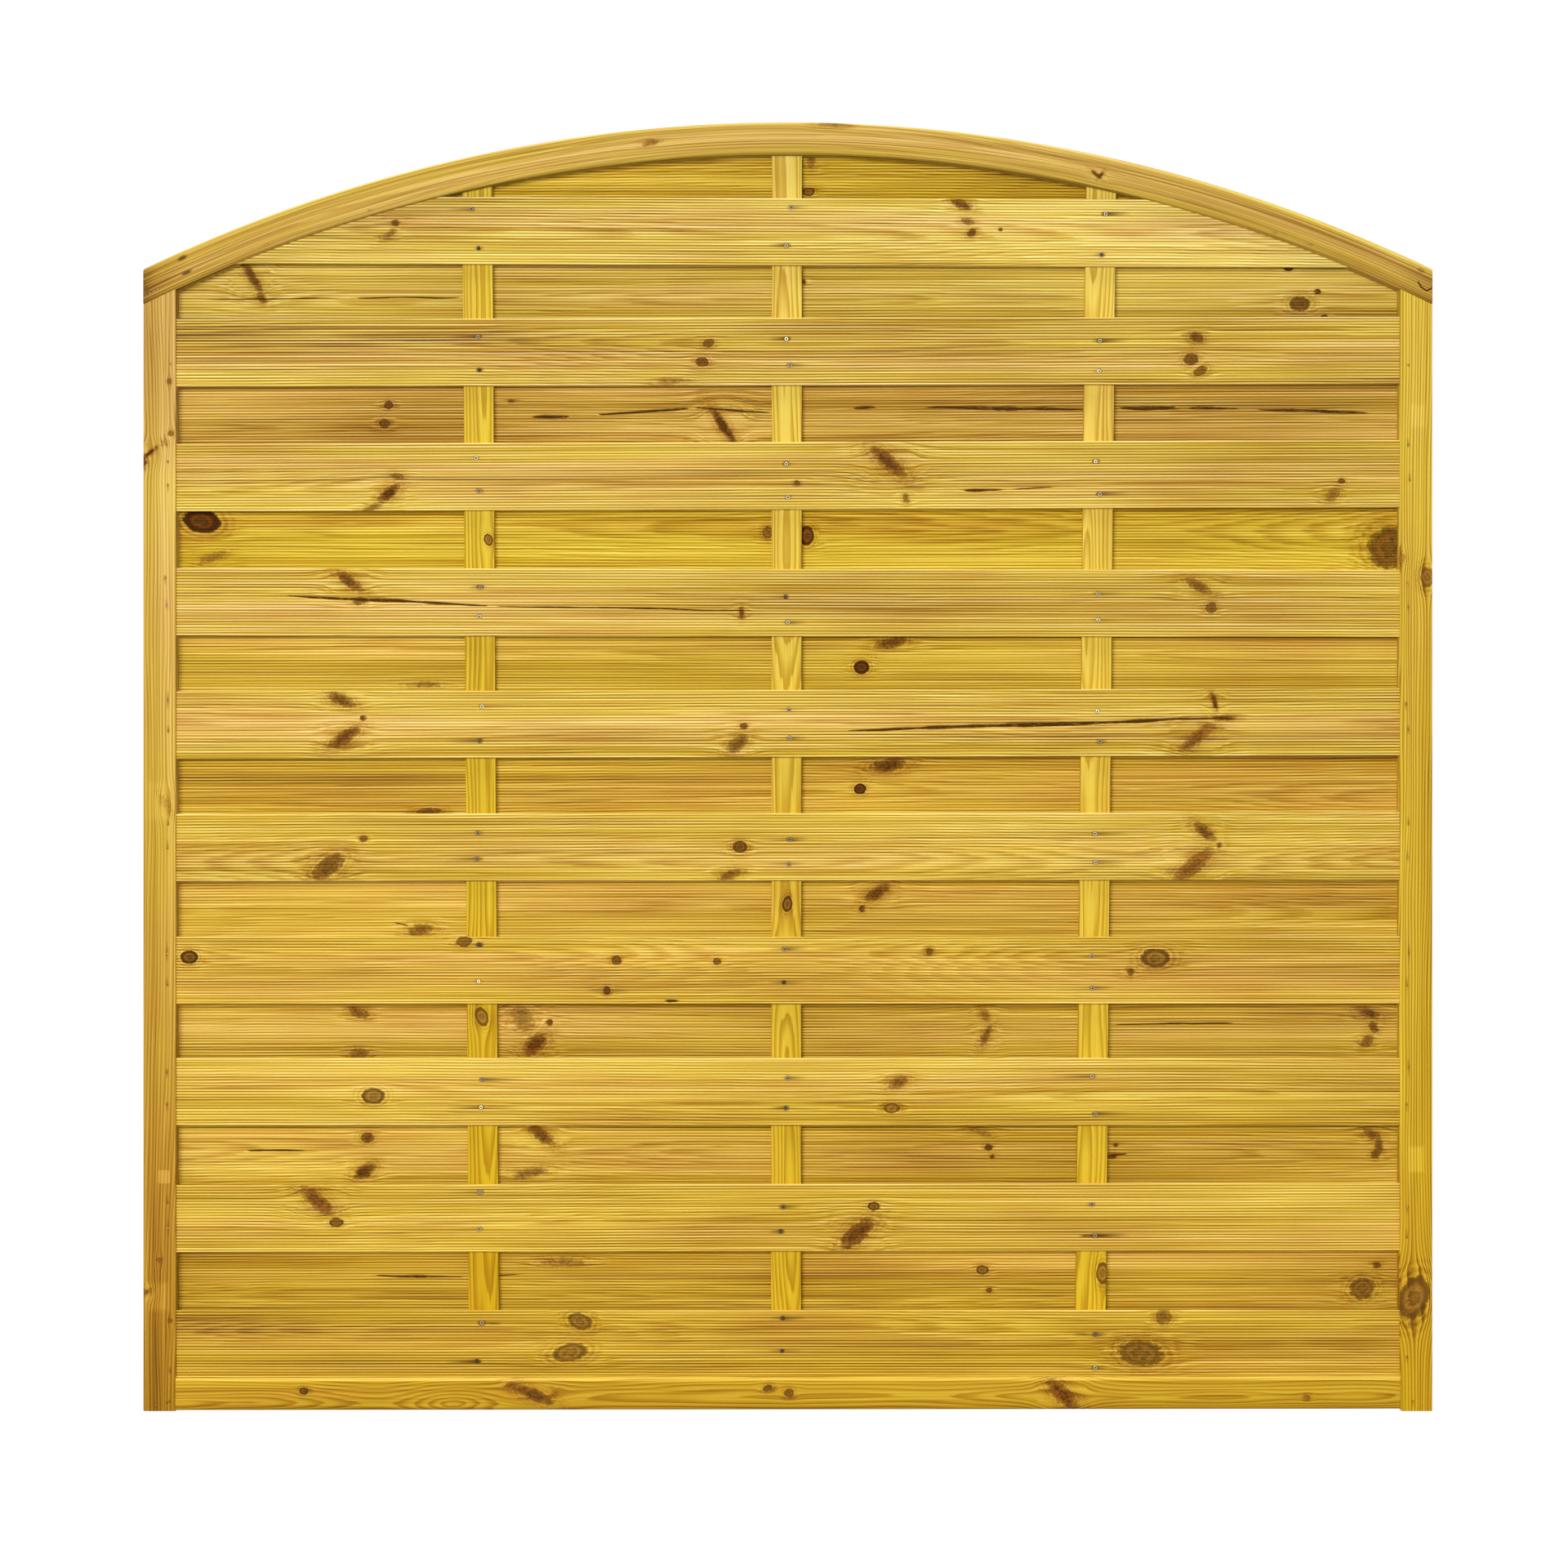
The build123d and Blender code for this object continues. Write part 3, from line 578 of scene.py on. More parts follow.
    # halo, body, rings and rim of the knots
    col = g.mix(g.math("MULTIPLY", g.math("MULTIPLY", halo, kdark), 0.40), col, srgb(172, 118, 34))
    body = g.mix(kdark, srgb(176, 128, 44), srgb(74, 38, 2))
    body = g.mix(g.math("MULTIPLY", kred, 0.55), body, srgb(140, 70, 12))
    soft_core = g.math("MULTIPLY", g.math("MULTIPLY", heart_of, kdark), g.math("MULTIPLY_ADD", khard, -0.55, 0.6))
    body = g.mix(soft_core, body, srgb(54, 30, 2))
    body = g.mix(g.math("MULTIPLY", g.math("MULTIPLY", inner, khard), g.math("MULTIPLY_ADD", kdark, -0.45, 0.8)), body, srgb(146, 98, 30))
    rings_in = g.math("MULTIPLY_ADD", g.math("SINE", g.math("MULTIPLY", krr, 14.0)), g.math("MULTIPLY_ADD", kdark, -0.26, 0.60), 1.02)
    rings_in = g.math("ADD", rings_in, g.math("MULTIPLY_ADD", n_in, 1.5, g.math("MULTIPLY", n_kn, 0.9)), clamp=False)
    body = g.scale_colour(body, rings_in)
    body = g.mix(g.math("MULTIPLY", eye, 0.75), body, srgb(52, 36, 14))
    col = g.mix(g.math("MULTIPLY", core, g.math("MULTIPLY_ADD", kdark, 0.4, 0.62), clamp=True), col, body)
    rim_amt = g.math("MULTIPLY", rim, g.math("MULTIPLY_ADD", khard, 0.8, 0.12))
    col = g.mix(g.math("MULTIPLY", rim_amt, g.math("MULTIPLY_ADD", kdark, 0.6, 0.45)), col, srgb(66, 38, 6))
    # painted shade: the reed valleys darker still where they cross a knot
    if reeds > 0.0:
        shade = g.math("MULTIPLY", g.math("MULTIPLY", dip, dip), g.math("MULTIPLY", core, -0.30))
        col = g.scale_colour(col, g.math("ADD", shade, 1.0))
    # cracks and stains
    dirt = g.math("MULTIPLY", stain, g.math("MULTIPLY_ADD", n_str, 2.0, 0.95), clamp=True)
    col = g.mix(dirt, col, srgb(92, 60, 14))
    gap = g.ramp01(g.math("ADD", crack, g.math("MULTIPLY", n_kn, 0.5)), 0.36, 0.56)
    split = g.mix(g.ramp01(n_kn, 0.0, 0.2), srgb(74, 46, 10), srgb(128, 86, 28))
    col = g.mix(gap, col, split)

    bsdf = g.new("ShaderNodeBsdfPrincipled")
    g.put(bsdf.inputs["Base Color"], col)
    g.put(bsdf.inputs["Roughness"], g.math("MULTIPLY_ADD", n_str, 0.25, 0.68))
    bsdf.inputs["Specular IOR Level"].default_value = 0.06
    height = g.math("MULTIPLY_ADD", n_str, 0.9, g.math("MULTIPLY", lat, 0.2))
    height = g.math("ADD", height, g.math("MULTIPLY", n_kn, g.math("MULTIPLY", halo, 0.8)))
    bump = g.new("ShaderNodeBump")
    bump.inputs["Strength"].default_value = 0.22
    bump.inputs["Distance"].default_value = 0.0005
    g.put(bump.inputs["Height"], height)
    g.put(bsdf.inputs["Normal"], bump.outputs[0])
    out = g.new("ShaderNodeOutputMaterial")
    g.t.links.new(bsdf.outputs[0], out.inputs["Surface"])
    return mat


def _scale_colour(self, colour, amount):
    """a colour made lighter or darker by a number"""
    n = self.new("ShaderNodeVectorMath", operation="SCALE")
    self.put(n.inputs[0], colour)
    self.put(n.inputs["Scale"], amount)
    return n.outputs[0]


Nodes.scale_colour = _scale_colour


def steel(name, base, rough, dirt):
    mat = bpy.data.materials.new(name)
    g = Nodes(mat)
    geo = g.new("ShaderNodeTexCoord").outputs["Object"]
    speck = g.noise(g.scaled(geo, (900.0, 900.0, 900.0)), 3.0, 0.6)
    _, worn, _, _ = g.attr("wear")
    grime = g.math("ADD", g.math("MULTIPLY", worn, 1.0), g.math("MULTIPLY", g.math("SUBTRACT", speck, 0.5), 0.9), clamp=True)
    col = g.mix(grime, base, dirt)
    bsdf = g.new("ShaderNodeBsdfPrincipled")
    g.put(bsdf.inputs["Base Color"], col)
    g.put(bsdf.inputs["Metallic"], g.math("MULTIPLY_ADD", grime, -0.85, 0.9))
    g.put(bsdf.inputs["Roughness"], g.math("MULTIPLY_ADD", grime, 0.4, rough))
    bump = g.new("ShaderNodeBump")
    bump.inputs["Strength"].default_value = 0.3
    bump.inputs["Distance"].default_value = 0.0002
    g.put(bump.inputs["Height"], speck)
    g.put(bsdf.inputs["Normal"], bump.outputs[0])
    out = g.new("ShaderNodeOutputMaterial")
    g.t.links.new(bsdf.outputs[0], out.inputs["Surface"])
    return mat


# ------------------------------------------------------------------ slats
REED_R = (4.0 + DEPTH ** 2) / (2 * DEPTH)


def reed_depth(z, off):
    """how deep the reeded face lies at height z from the slat's middle"""
    first = -(VALLEYS - 1) / 2 * PITCH + off
    last = first + (VALLEYS - 1) * PITCH
    s = np.mod(z - first, PITCH) - PITCH / 2
    inside = REED_R - np.sqrt(np.maximum(REED_R ** 2 - s * s, 0))
    d = np.maximum(first - z, z - last)
    outside = DEPTH * np.clip(1 - d / 1.3, 0, 1) ** 2
    return np.where(d < 0, inside, outside)


def face_rows(off, per):
    """heights of the rows of one broad face, bottom to top"""
    first = -(VALLEYS - 1) / 2 * PITCH + off
    rows = [-(SLAT_H / 2 - 0.9), first - 1.3, first - 0.6]
    for k in range(VALLEYS):
        for j in range(per if k < VALLEYS - 1 else 1):
            rows.append(first + k * PITCH + j * PITCH / per)
    last = first + (VALLEYS - 1) * PITCH
    return rows + [last + 0.6, last + 1.3, SLAT_H / 2 - 0.9]


def crack_path(cracks, x, layer):
    """(height, half width) of the slat's crack along x; cracks are (x0, y0, x1, y1, width px, seed)"""
    pts = []
    for (x0, y0, x1, y1, wid, seed) in sorted(cracks):
        pts += [at(x0, y0, layer), at(x1, y1, layer)]
    px_, pz_ = np.array(pts).T
    zc = np.interp(x, px_, pz_)
    w = np.zeros_like(x)
    for (x0, y0, x1, y1, wid, seed) in cracks:
        a, b = at(x0, y0, layer)[0], at(x1, y1, layer)[0]
        t = np.clip((x - a) / (b - a), 0, 1)
        taper = np.clip(np.sin(np.pi * t), 0, 1) ** 0.55
        ragged = 0.85 + 0.35 * noise1(x, seed, 26.0)
        inside = (x > a) & (x < b)
        w = np.maximum(w, np.where(inside, (wid * 0.9 + 0.45) * taper * np.maximum(ragged, 0.35), 0))
        zc = zc + np.where(inside, 0.9 * noise1(x, seed + 2, 60.0) * np.minimum(1, 3 * np.sin(np.pi * t)), 0)
    return zc, w


def slat(name, y_mid, zl, zr, off, spec, nails, nail_side, layer, per=(4, 2), trim=False, rail=False,
         cracks=(), stains=(), material=None, base=58.0, lens=None):
    front_rows, back_rows = face_rows(off, per[0]), face_rows(off, per[1])
    X = [-SLAT_END_X, -SLAT_END_X / 3, SLAT_END_X / 3, SLAT_END_X] + spread(-SLAT_END_X, SLAT_END_X, base)
    for nx, nz in nails:
        X += [nx + d for d in (-4.2, -3.1, -1.6, 0, 1.6, 3.1, 4.2)]
    for k in spec.get("knots", ()):
        ha = abs(k[2] * math.cos(math.radians(k[4]))) + abs(k[3] * math.sin(math.radians(k[4])))
        X += spread(k[0] - 2.2 * ha - 12, k[0] + 2.2 * ha + 12, max(6.0, ha * 0.6))
    for (x0, y0, x1, y1, wid, seed) in cracks:
        X += spread(at(x0, y0, layer)[0], at(x1, y1, layer)[0], 11.0)
    for (x0, y0, x1, y1, wid, amt) in stains:
        X += spread(at(x0, y0, layer)[0], at(x1, y1, layer)[0], 9.0)
    X = [x for x in clean(X, 1.4) if abs(x) <= SLAT_END_X]
    X[0], X[-1] = -SLAT_END_X, SLAT_END_X
    for c in (-SLAT_END_X / 3, SLAT_END_X / 3):
        j = int(np.argmin(np.abs(np.array(X) - c)))
        X[j] = c
    X = np.array(X)
    S = len(X)
    cuts = [int(np.argmin(np.abs(X - c))) for c in (-SLAT_END_X / 3, SLAT_END_X / 3)]
    zmid = (zl + zr) / 2 + SLAT_H / 2 + (zr - zl) / (2 * INNER_X) * X      # the slat's middle at each station
    seed = spec["seed"]
    t, h, ease = SLAT_T / 2, SLAT_H / 2, 0.9

    def broad(rows, sign, carve, per_face):
        rows = np.array(rows)
        Z = np.repeat(rows[None, :], S, 0)
        Cr = np.zeros_like(Z)
        Dp = np.zeros_like(Z)
        if carve:
            zc, w = crack_path(cracks, X, layer)
            rel = np.clip(zc - zmid, -h + 4.0, h - 4.0)[:, None]
            half = np.maximum(w, 0.3)[:, None]
            on = np.clip(w / 0.35, 0, 1)[:, None]
            Z = np.concatenate([Z, rel + half * np.array([[-1.6, -0.8, 0.0, 0.8, 1.6]])], 1)
            Z = np.sort(Z, axis=1)
            near = np.clip(1 - np.abs(Z - rel) / (1.6 * half), 0, 1)
            Cr = near * on
            Dp = np.clip(2.2 * near, 0, 1) * np.minimum(2.4, 0.8 + 0.9 * half) * on
        XX = np.repeat(X[:, None], Z.shape[1], 1)
        dep = reed_depth(Z, off)
        # how deep in a reed valley each row lies, later painted as shade
        val = np.clip(dep / DEPTH, 0, 1)
        reeded = np.abs(Z) < h - 2.2
        dep = dep * (1 + 0.16 * noise2(XX, Z, seed + 21, 90.0, 3.1))
        Zs = Z + np.where(reeded, 0.13 * noise2(XX, Z, seed + 22, 60.0, 9.0), 0.0)
        return XX, Z, Zs, dep + Dp, val, Cr

    parts = []
    for rows, sign, carve in ((front_rows, -1, bool(cracks)), (back_rows, 1, False)):
        XX, Z, Zs, dep, val, Cr = broad(rows, sign, carve, per)
        St = np.zeros_like(Z)
        world = zmid[:, None] + Zs
        for (x0, y0, x1, y1, wid, amt) in stains:
            a, za = at(x0, y0, layer)
            b, zb = at(x1, y1, layer)
            tt = np.clip((XX - a) / (b - a), 0, 1)
            dist = np.abs(world - (za + (zb - za) * tt)) / (wid * 0.57 + 0.6)
            end = np.clip(np.minimum(XX - min(a, b), max(a, b) - XX) / (0.3 * abs(b - a) + 1), 0, 1)
            St = np.maximum(St, amt * np.clip(1.3 - dist, 0, 1) * end)
        if sign == nail_side:
            done = []
            for nx, nz in nails:
                dx, dz = XX - nx, world - nz
                d = np.hypot(dx, dz)
                dep = np.where(d < 3.15 + 1e-6, 1.45, dep)
                much = lens[len(done)] if lens else 0.5 + 0.4 * math.sin(nx * 3.1 + nz)
                done.append(1)
                St = np.maximum(St, (0.2 + 0.7 * much) * np.clip((4.6 - np.hypot(dx / (1.0 + 0.7 * much), dz)) / 1.9, 0, 1))
        Y = y_mid + sign * (t - dep)
        parts.append((XX, Y, world, val, Cr, St, Z))
    (fx, fy, fz, fval, fcr, fst, fZ), (bx, by, bz, bval, bcr, bst, bZ) = parts
    bx, by, bz, bval, bcr, bst, bZ = (a[:, ::-1] for a in (bx, by, bz, bval, bcr, bst, bZ))
    one = np.ones((S, 1))
    xcol = X[:, None] * one
    nick = lambda s_: 0.12 * noise1(X, seed + s_, 25.0)[:, None]

    def edge(yrel, zrel, s_):
        return (xcol, y_mid + yrel * one, zmid[:, None] + zrel + nick(s_), 0.15 * one, 0 * one, 0 * one, zrel * one)

    ring = [(fx, fy, fz, fval, fcr, fst, fZ), edge(-t + ease, h - 0.12, 31), edge(t - ease, h - 0.12, 32),
            (bx, by, bz, bval, bcr, bst, bZ), edge(t - ease, -h + 0.12, 33), edge(-t + ease, -h + 0.12, 34)]
    XX, YY, ZZ, VAL, CR, ST, _ = (np.concatenate([r[i] for r in ring], 1) for i in range(7))
    if trim:
        roof = ARCH_Z + np.sqrt(SLAT_END_R ** 2 - np.minimum(np.abs(XX), SLAT_END_R) ** 2)
        ZZ = np.minimum(ZZ, roof)
    if rail:
        ZZ = np.maximum(ZZ, 45.8 + 2.0 * (XX + INNER_X) / (2 * INNER_X) + 0.3)
    V = np.stack([XX, YY, ZZ], -1)
    if trim:
        # stations past the slat's real end shrink to nothing and fall away
        low = V[:, :, 2].min(1)
        tall = V[:, :, 2].max(1) - low
        ok = np.where(tall > 0.6)[0]
        a, b = max(ok[0] - 1, 0), min(ok[-1] + 1, S - 1)
        V, VAL, CR, ST, XX, YY, ZZ = (q[a:b + 1] for q in (V, VAL, CR, ST, XX, YY, ZZ))
        zm = zmid[a:b + 1]
        cuts = [c - a for c in cuts if a < c < b]
    else:
        zm = zmid
    at_ = wood_attrs(XX, ZZ - zm[:, None], YY - y_mid, spec, VAL, CR, ST)
    # painted highlight: the top 2.6 mm of each slat made paler, where its upper edge catches the light
    at_["rings"][..., 2] += 1.6 * (ZZ - zm[:, None] > h - 2.6)
    ob = mesh_piece(name, V, at_, cuts=cuts)
    ob.data.materials.append(material)
    return ob


def slat_knots(listed, layer, zl, zr):
    """knots given in the 1920 frame, as (x, y, ra, rb, angle, dark, red, hard), put on the slat"""
    out = []
    s = at(961, 0, layer)[0] - at(960, 0, layer)[0]
    for (xp, yp, ra, rb, ang, dark, red, hard) in listed:
        x, z = at(xp, yp, layer)
        mid = (zl + zr) / 2 + SLAT_H / 2 + (zr - zl) / (2 * INNER_X) * x
        out.append((x, z - mid, ra * s, rb * s, ang, dark, red, hard))
    return out


# Each slat: its knots, cracks and stains as placed in the 1920 frame, its heart wood bands
# (height from the middle, half width, amount), and how pale and how warm it is.
FRONT = [
    dict(knots=[(484, 273, 5, 4, 0, .8, .2, .3), (478, 286, 10, 4, 35, .5, .2, 0),
                (1178, 250, 13, 6, -20, .8, .6, .1), (1185, 271, 8, 4, -10, .6, .3, .2),
                (1190, 285, 6, 4, 40, .8, .3, .3), (1225, 281, 2.5, 2, 0, .8, .2, .8)],
         heart=[(10, 16, .8)], level=.57),
    dict(knots=[(868, 420, 7, 5, 10, .75, .1, .4), (860, 443, 7.5, 6, 0, .82, .1, .5),
                (1465, 413, 8, 6, -15, .8, .2, .3), (1458, 440, 8.5, 7, 0, .8, .1, .45),
                (1470, 454, 9, 5, 25, .7, .3, .4), (820, 467, 16, 4, 5, .3, .1, 0)],
         heart=[(-6, 14, .7)], level=.45),
    dict(knots=[(1088, 566, 27, 9, -42, .8, .5, 0), (1110, 610, 4, 6, 0, .55, .2, .2),
                (486, 583, 8, 4, -10, .6, .2, .2), (476, 604, 15, 7, 38, .9, .3, .1),
                (455, 622, 14, 4, 20, .5, .2, 0), (1643, 589, 4, 3, 0, .8, .2, .7),
                (1632, 606, 10, 6, 40, .45, .2, .1), (976, 591, 4, 3, 0, .7, .2, .3)],
         cracks=[(1175, 600, 1232, 599, 1.8, 11), (1236, 599, 1292, 597, 1.0, 12)],
         heart=[(0, 20, .75)], level=.55),
    dict(knots=[(428, 712, 20, 7, -38, .75, .5, 0), (440, 736, 8, 5, 0, .6, .3, .1),
                (1468, 718, 17, 6, -28, .65, .4, .1), (1483, 744, 7, 6, 20, .7, .3, .4),
                (908, 750, 3, 7, 0, .8, .5, .2)],
         cracks=[(346, 729, 602, 742, 2.5, 21), (604, 742, 925, 748, 1.3, 24)],
         heart=[(-8, 17, .6)], level=.56, tint=(1, 1, 1.04)),
    dict(knots=[(418, 857, 18, 7, -25, .7, .4, 0), (445, 879, 4, 3.2, 0, .85, .2, .7),
                (422, 903, 21, 8, 33, .8, .5, .1), (911, 889, 5, 4, 0, .75, .3, .5),
                (903, 911, 14, 8, 38, .65, .3, .1), (1487, 859, 13, 3.4, -72, .85, .3, .1),
                (1498, 879, 14, 3.4, 0, .85, .3, .1), (1466, 903, 25, 7.5, 38, .62, .8, 0)],
         cracks=[(1036, 895, 1500, 879, 3.6, 32)],
         heart=[(-4, 22, .7)], level=.57, tint=(1, 1, 1.03)),
    dict(knots=[(445, 1027, 5, 4, 0, .75, .3, .4), (402, 1061, 21, 10.5, 36, .76, .4, .3),
                (906, 1037, 8, 7, 0, .8, .2, .7), (893, 1072, 15, 6, 20, .6, .6, 0),
                (1475, 1018, 16, 6.5, -38, .75, .4, 0), (1461, 1060, 29, 9.5, 42, .6, .95, .1), (1493, 1035, 4, 3, 0, .85, .3, .5)],
         heart=[(-12, 20, .65)], level=.60, tint=(1, 1, 1)),
    dict(knots=[(231.5, 1172, 10, 7.5, 0, .85, .1, 1), (568, 1153, 9, 6, 10, .7, .1, .5),
                (755, 1176, 6, 5, 0, .75, .2, .6), (878, 1177, 5, 4, 0, .75, .2, .6),
                (743, 1213, 4, 5, 0, .9, .2, .7), (1138, 1165, 4, 4, 0, .7, .2, .5),
                (1415, 1173, 16, 10.5, 0, .62, 0, .8), (1385, 1190, 4, 5, 0, .7, .2, .2)],
         cracks=[(810, 1226, 836, 1226, 2.2, 41)],
         stains=[(715, 1212, 772, 1213, 5, .55)],
         heart=[(0, 24, .7)], level=.53, tint=(1, .97, .90)),
    dict(knots=[(457, 1342, 13, 9, 0, .55, .1, .9), (1100, 1326, 12, 7, 28, .6, .7, .1),
                (1092, 1357, 9, 6, 0, .5, .1, .8)],
         heart=[(10, 12, .5)], level=.585),
    dict(knots=[(389, 1471, 25, 9, -38, .72, .9, .1), (412, 1497, 8, 5, 0, .75, .3, .7),
                (1070, 1477, 7, 5, 0, .75, .2, .8), (1049, 1511, 25, 10, 42, .82, .7, .2)],
         heart=[(-18, 18, .5)], level=.59, tint=(1, 1, 1.08)),
    dict(knots=[(710, 1618, 14, 9, -20, .55, .1, .6), (698, 1656, 20, 10, 10, .5, .2, .7),
                (1397, 1657, 25, 14.5, -8, .62, .05, .5), (1425, 1612, 9, 10, 0, .55, .1, .2)],
         heart=[(6, 20, .5)], level=.48),
]
REAR = [
    dict(knots=[(990, 235, 7, 5, 0, .7, .1, .9), (993, 196, 5, 9, 0, .45, .1, .2)],
         heart=[(0, 18, .3)], level=.40, tint=(1, .96, .46)),
    dict(knots=[(308, 338, 23, 6, -58, .75, .3, 0), (320, 365, 7, 5, -40, .7, .2, .1), (1592, 372, 12, 8.5, 0, .8, .15, .5),
                (1613, 357, 4, 3, 0, .9, .1, 1), (1622, 388, 4, 2.5, 0, .9, .1, 1), (1578, 329, 5, 2.5, 0, .9, .1, 1),
                (984, 345, 3, 3, 0, .8, .2, .3)],
         cracks=[(250, 366, 420, 365, .7, 51), (432, 365, 568, 364, 1.1, 52)],
         heart=[(0, 14, .4)], level=.60, tint=(1, 1, .95)),
    dict(knots=[(476, 496, 5.5, 4.6, 0, .85, 0, .5), (471, 519, 6, 5.5, 0, .8, 0, .5),
                (885, 521, 27, 6, -56, .85, .3, 0), (626, 491, 4, 1.8, 0, .8, .6, .3)],
         cracks=[(650, 511, 702, 510, 2.6, 61), (728, 508, 846, 500, 2.4, 62), (848, 499, 945, 505, 1.8, 63),
                 (1040, 500, 1078, 499, 1.8, 64), (1130, 499, 1336, 502, 3.0, 65), (1366, 499, 1446, 500, 3.2, 66),
                 (1449, 500, 1522, 501, 2.2, 67), (1536, 501, 1682, 506, 2.8, 68)],
         heart=[(0, 60, 1.0)], level=.50, tint=(1, .99, .84)),
    dict(knots=[(247, 638, 21, 13, -10, 1.0, .25, 1), (940, 652, 6, 7, 0, .6, .3, .5), (988, 656, 8, 11, 0, .9, .5, .9),
                (1701, 671, 24, 24, 0, .74, .2, .45), (260, 683, 18, 5, 25, .3, .1, 0)],
         heart=[(22, 14, .5)], level=.61, tint=(1, 1, .47)),
    dict(knots=[(1055, 817, 9, 7.5, 0, 1.0, .2, .9), (1092, 787, 20, 6, 12, .8, .4, .1), (520, 838, 20, 4, 0, .35, .1, 0)],
         heart=[(25, 14, .4)], level=.585, tint=(1, .98, .70)),
    dict(knots=[(1088, 937, 21, 8, 8, .85, .5, .2), (1053, 966, 7, 6, 0, .95, .2, .9), (525, 994, 14, 5, 5, .7, .2, .3)],
         heart=[(0, 26, .6)], level=.50, tint=(1, .96, .70)),
    dict(knots=[(515, 1138, 15, 7, 8, .6, .4, .1), (1074, 1093, 17, 7, 36, .8, .3, .1), (1056, 1113, 4, 4, 0, .85, .3, .6)],
         cracks=[(480, 1130, 503, 1135, .7, 71)],
         heart=[(10, 24, .6)], level=.57, tint=(1, .965, .88)),
    dict(knots=[(440, 1240, 12, 6, -20, .6, .3, .1), (440, 1290, 12, 6, 0, .6, .3, .1),
                (655, 1279, 17, 10, 42, .85, .8, .1), (640, 1247, 18, 12, -60, .35, .1, 0), (673, 1252, 4, 4, 0, .8, .3, .5),
                (1207, 1243, 9, 5, -50, .5, .3, 0), (1207, 1268, 14, 5, 65, .6, .3, 0),
                (1675, 1240, 15, 6, -20, .7, .2, 0), (1682, 1258, 7, 5, -60, .75, .3, .3), (1674, 1275, 9, 6, 50, .6, .2, .1)],
         cracks=[(1360, 1255, 1516, 1253, 1.2, 81)],
         heart=[(6, 22, .6)], level=.58),
    dict(knots=[(450, 1393, 8, 6, 0, .8, .4, .3), (446, 1434, 14, 8, 30, .85, .3, .1), (663, 1390, 19, 7, -38, .75, .6, .1),
                (650, 1436, 22, 6, 12, .45, .2, 0), (1210, 1405, 5, 3.6, 0, .9, .4, .4), (1215, 1416, 2.6, 2.4, 0, .9, .3, .5), (1200, 1386, 13, 4, -20, .3, .2, .1),
                (1366, 1402, 3, 2.2, 0, .85, .4, .5), (1362, 1416, 5.5, 3, 0, .95, .7, .4), (1680, 1389, 12, 6, -30, .6, .3, 0), (1689, 1404, 5, 8, 0, .7, .3, .3),
                (1684, 1414, 5, 5, 0, .7, .3, .3)],
         cracks=[(298, 1409, 378, 1409, 1.3, 91), (1360, 1415, 1380, 1413, 1.0, 92)],
         heart=[(0, 24, .6)], level=.55),
    dict(knots=[(1203, 1555, 7, 5, 0, .6, .2, .9), (1211, 1580, 3.5, 3, 0, .75, .2, .7), (1686, 1549, 5, 4, 0, .75, .3, .4), (1668, 1578, 14, 12, 20, .6, .3, .5),
                (690, 1545, 25, 6, 0, .3, .1, 0)],
         cracks=[(455, 1562, 572, 1564, 1.6, 101), (576, 1563, 640, 1560, 1.0, 102)],
         heart=[(18, 20, .5)], level=.54),
]
FRONT[9]["stains"] = [(590, 1620, 616, 1621, 2.5, .8), (1312, 1634, 1342, 1634, 2.5, .8)]
FRONT[8]["stains"] = [(1320, 1513, 1342, 1513, 2.5, .8)]

pieces = []

for i, (spec, (zl, zr)) in enumerate(zip(FRONT, FRONT_Z)):
    mat = wood("front_board_%02d" % (i + 1), tint=spec.get("tint", (1, 1, 1)), level=spec["level"],
               reeds=0.32, heart=spec.get("warm", 0.0))
    full = dict(spec, knots=slat_knots(spec["knots"], D_SLAT, zl, zr), seed=100 + 7 * i, ring=3.2 + 0.7 * math.sin(i * 1.9),
                pith=18 * math.sin(i * 2.3), deeppith=24 + 14 * math.sin(i * 1.3 + 1), wave=1.4)
    ob = slat("front_slat_%02d_board" % (i + 1), -(SLAT_FACE - SLAT_T / 2), zl, zr, 0.35 * math.sin(2.2 * i), full,
              FRONT_NAILS[i], -1, D_SLAT, trim=(i == 0), rail=(i == 9), cracks=spec.get("cracks", ()),
              stains=spec.get("stains", ()), material=mat, lens=NAIL_LENS[i])
    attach(ob, "root")
    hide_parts("front_slat_%02d" % (i + 1))
    pieces.append(ob)

for i, (spec, (zl, zr)) in enumerate(zip(REAR, REAR_Z)):
    mat = wood("rear_board_%02d" % (i + 1), tint=spec.get("tint", (1, 1, 1)), level=spec["level"],
               reeds=0.32, heart=spec.get("warm", 0.0))
    full = dict(spec, knots=slat_knots(spec["knots"], D_REAR, zl, zr), seed=300 + 11 * i, ring=3.4 + 0.7 * math.sin(i * 2.7),
                pith=20 * math.sin(i * 1.7 + 2), deeppith=24 + 14 * math.sin(i * 2.3 + 1), wave=1.4)
    ob = slat("rear_slat_%02d_board" % (i + 1), SLAT_FACE - SLAT_T / 2, zl, zr, 0.35 * math.sin(1.7 * i + 1.0), full,
              REAR_NAILS[i], 1, D_REAR, per=(3, 2), trim=(i <= 1), cracks=spec.get("cracks", ()),
              stains=spec.get("stains", ()), material=mat, base=66.0)
    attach(ob, "root")
    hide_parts("rear_slat_%02d" % (i + 1))
    pieces.append(ob)


# ------------------------------------------------------------------ frame timbers
def arc_pts(cx, cy, r, a0, a1, n):
    return [(cx + r * math.cos(math.radians(a0 + (a1 - a0) * k / n)), cy + r * math.sin(math.radians(a0 + (a1 - a0) * k / n)))
            for k in range(n + 1)]


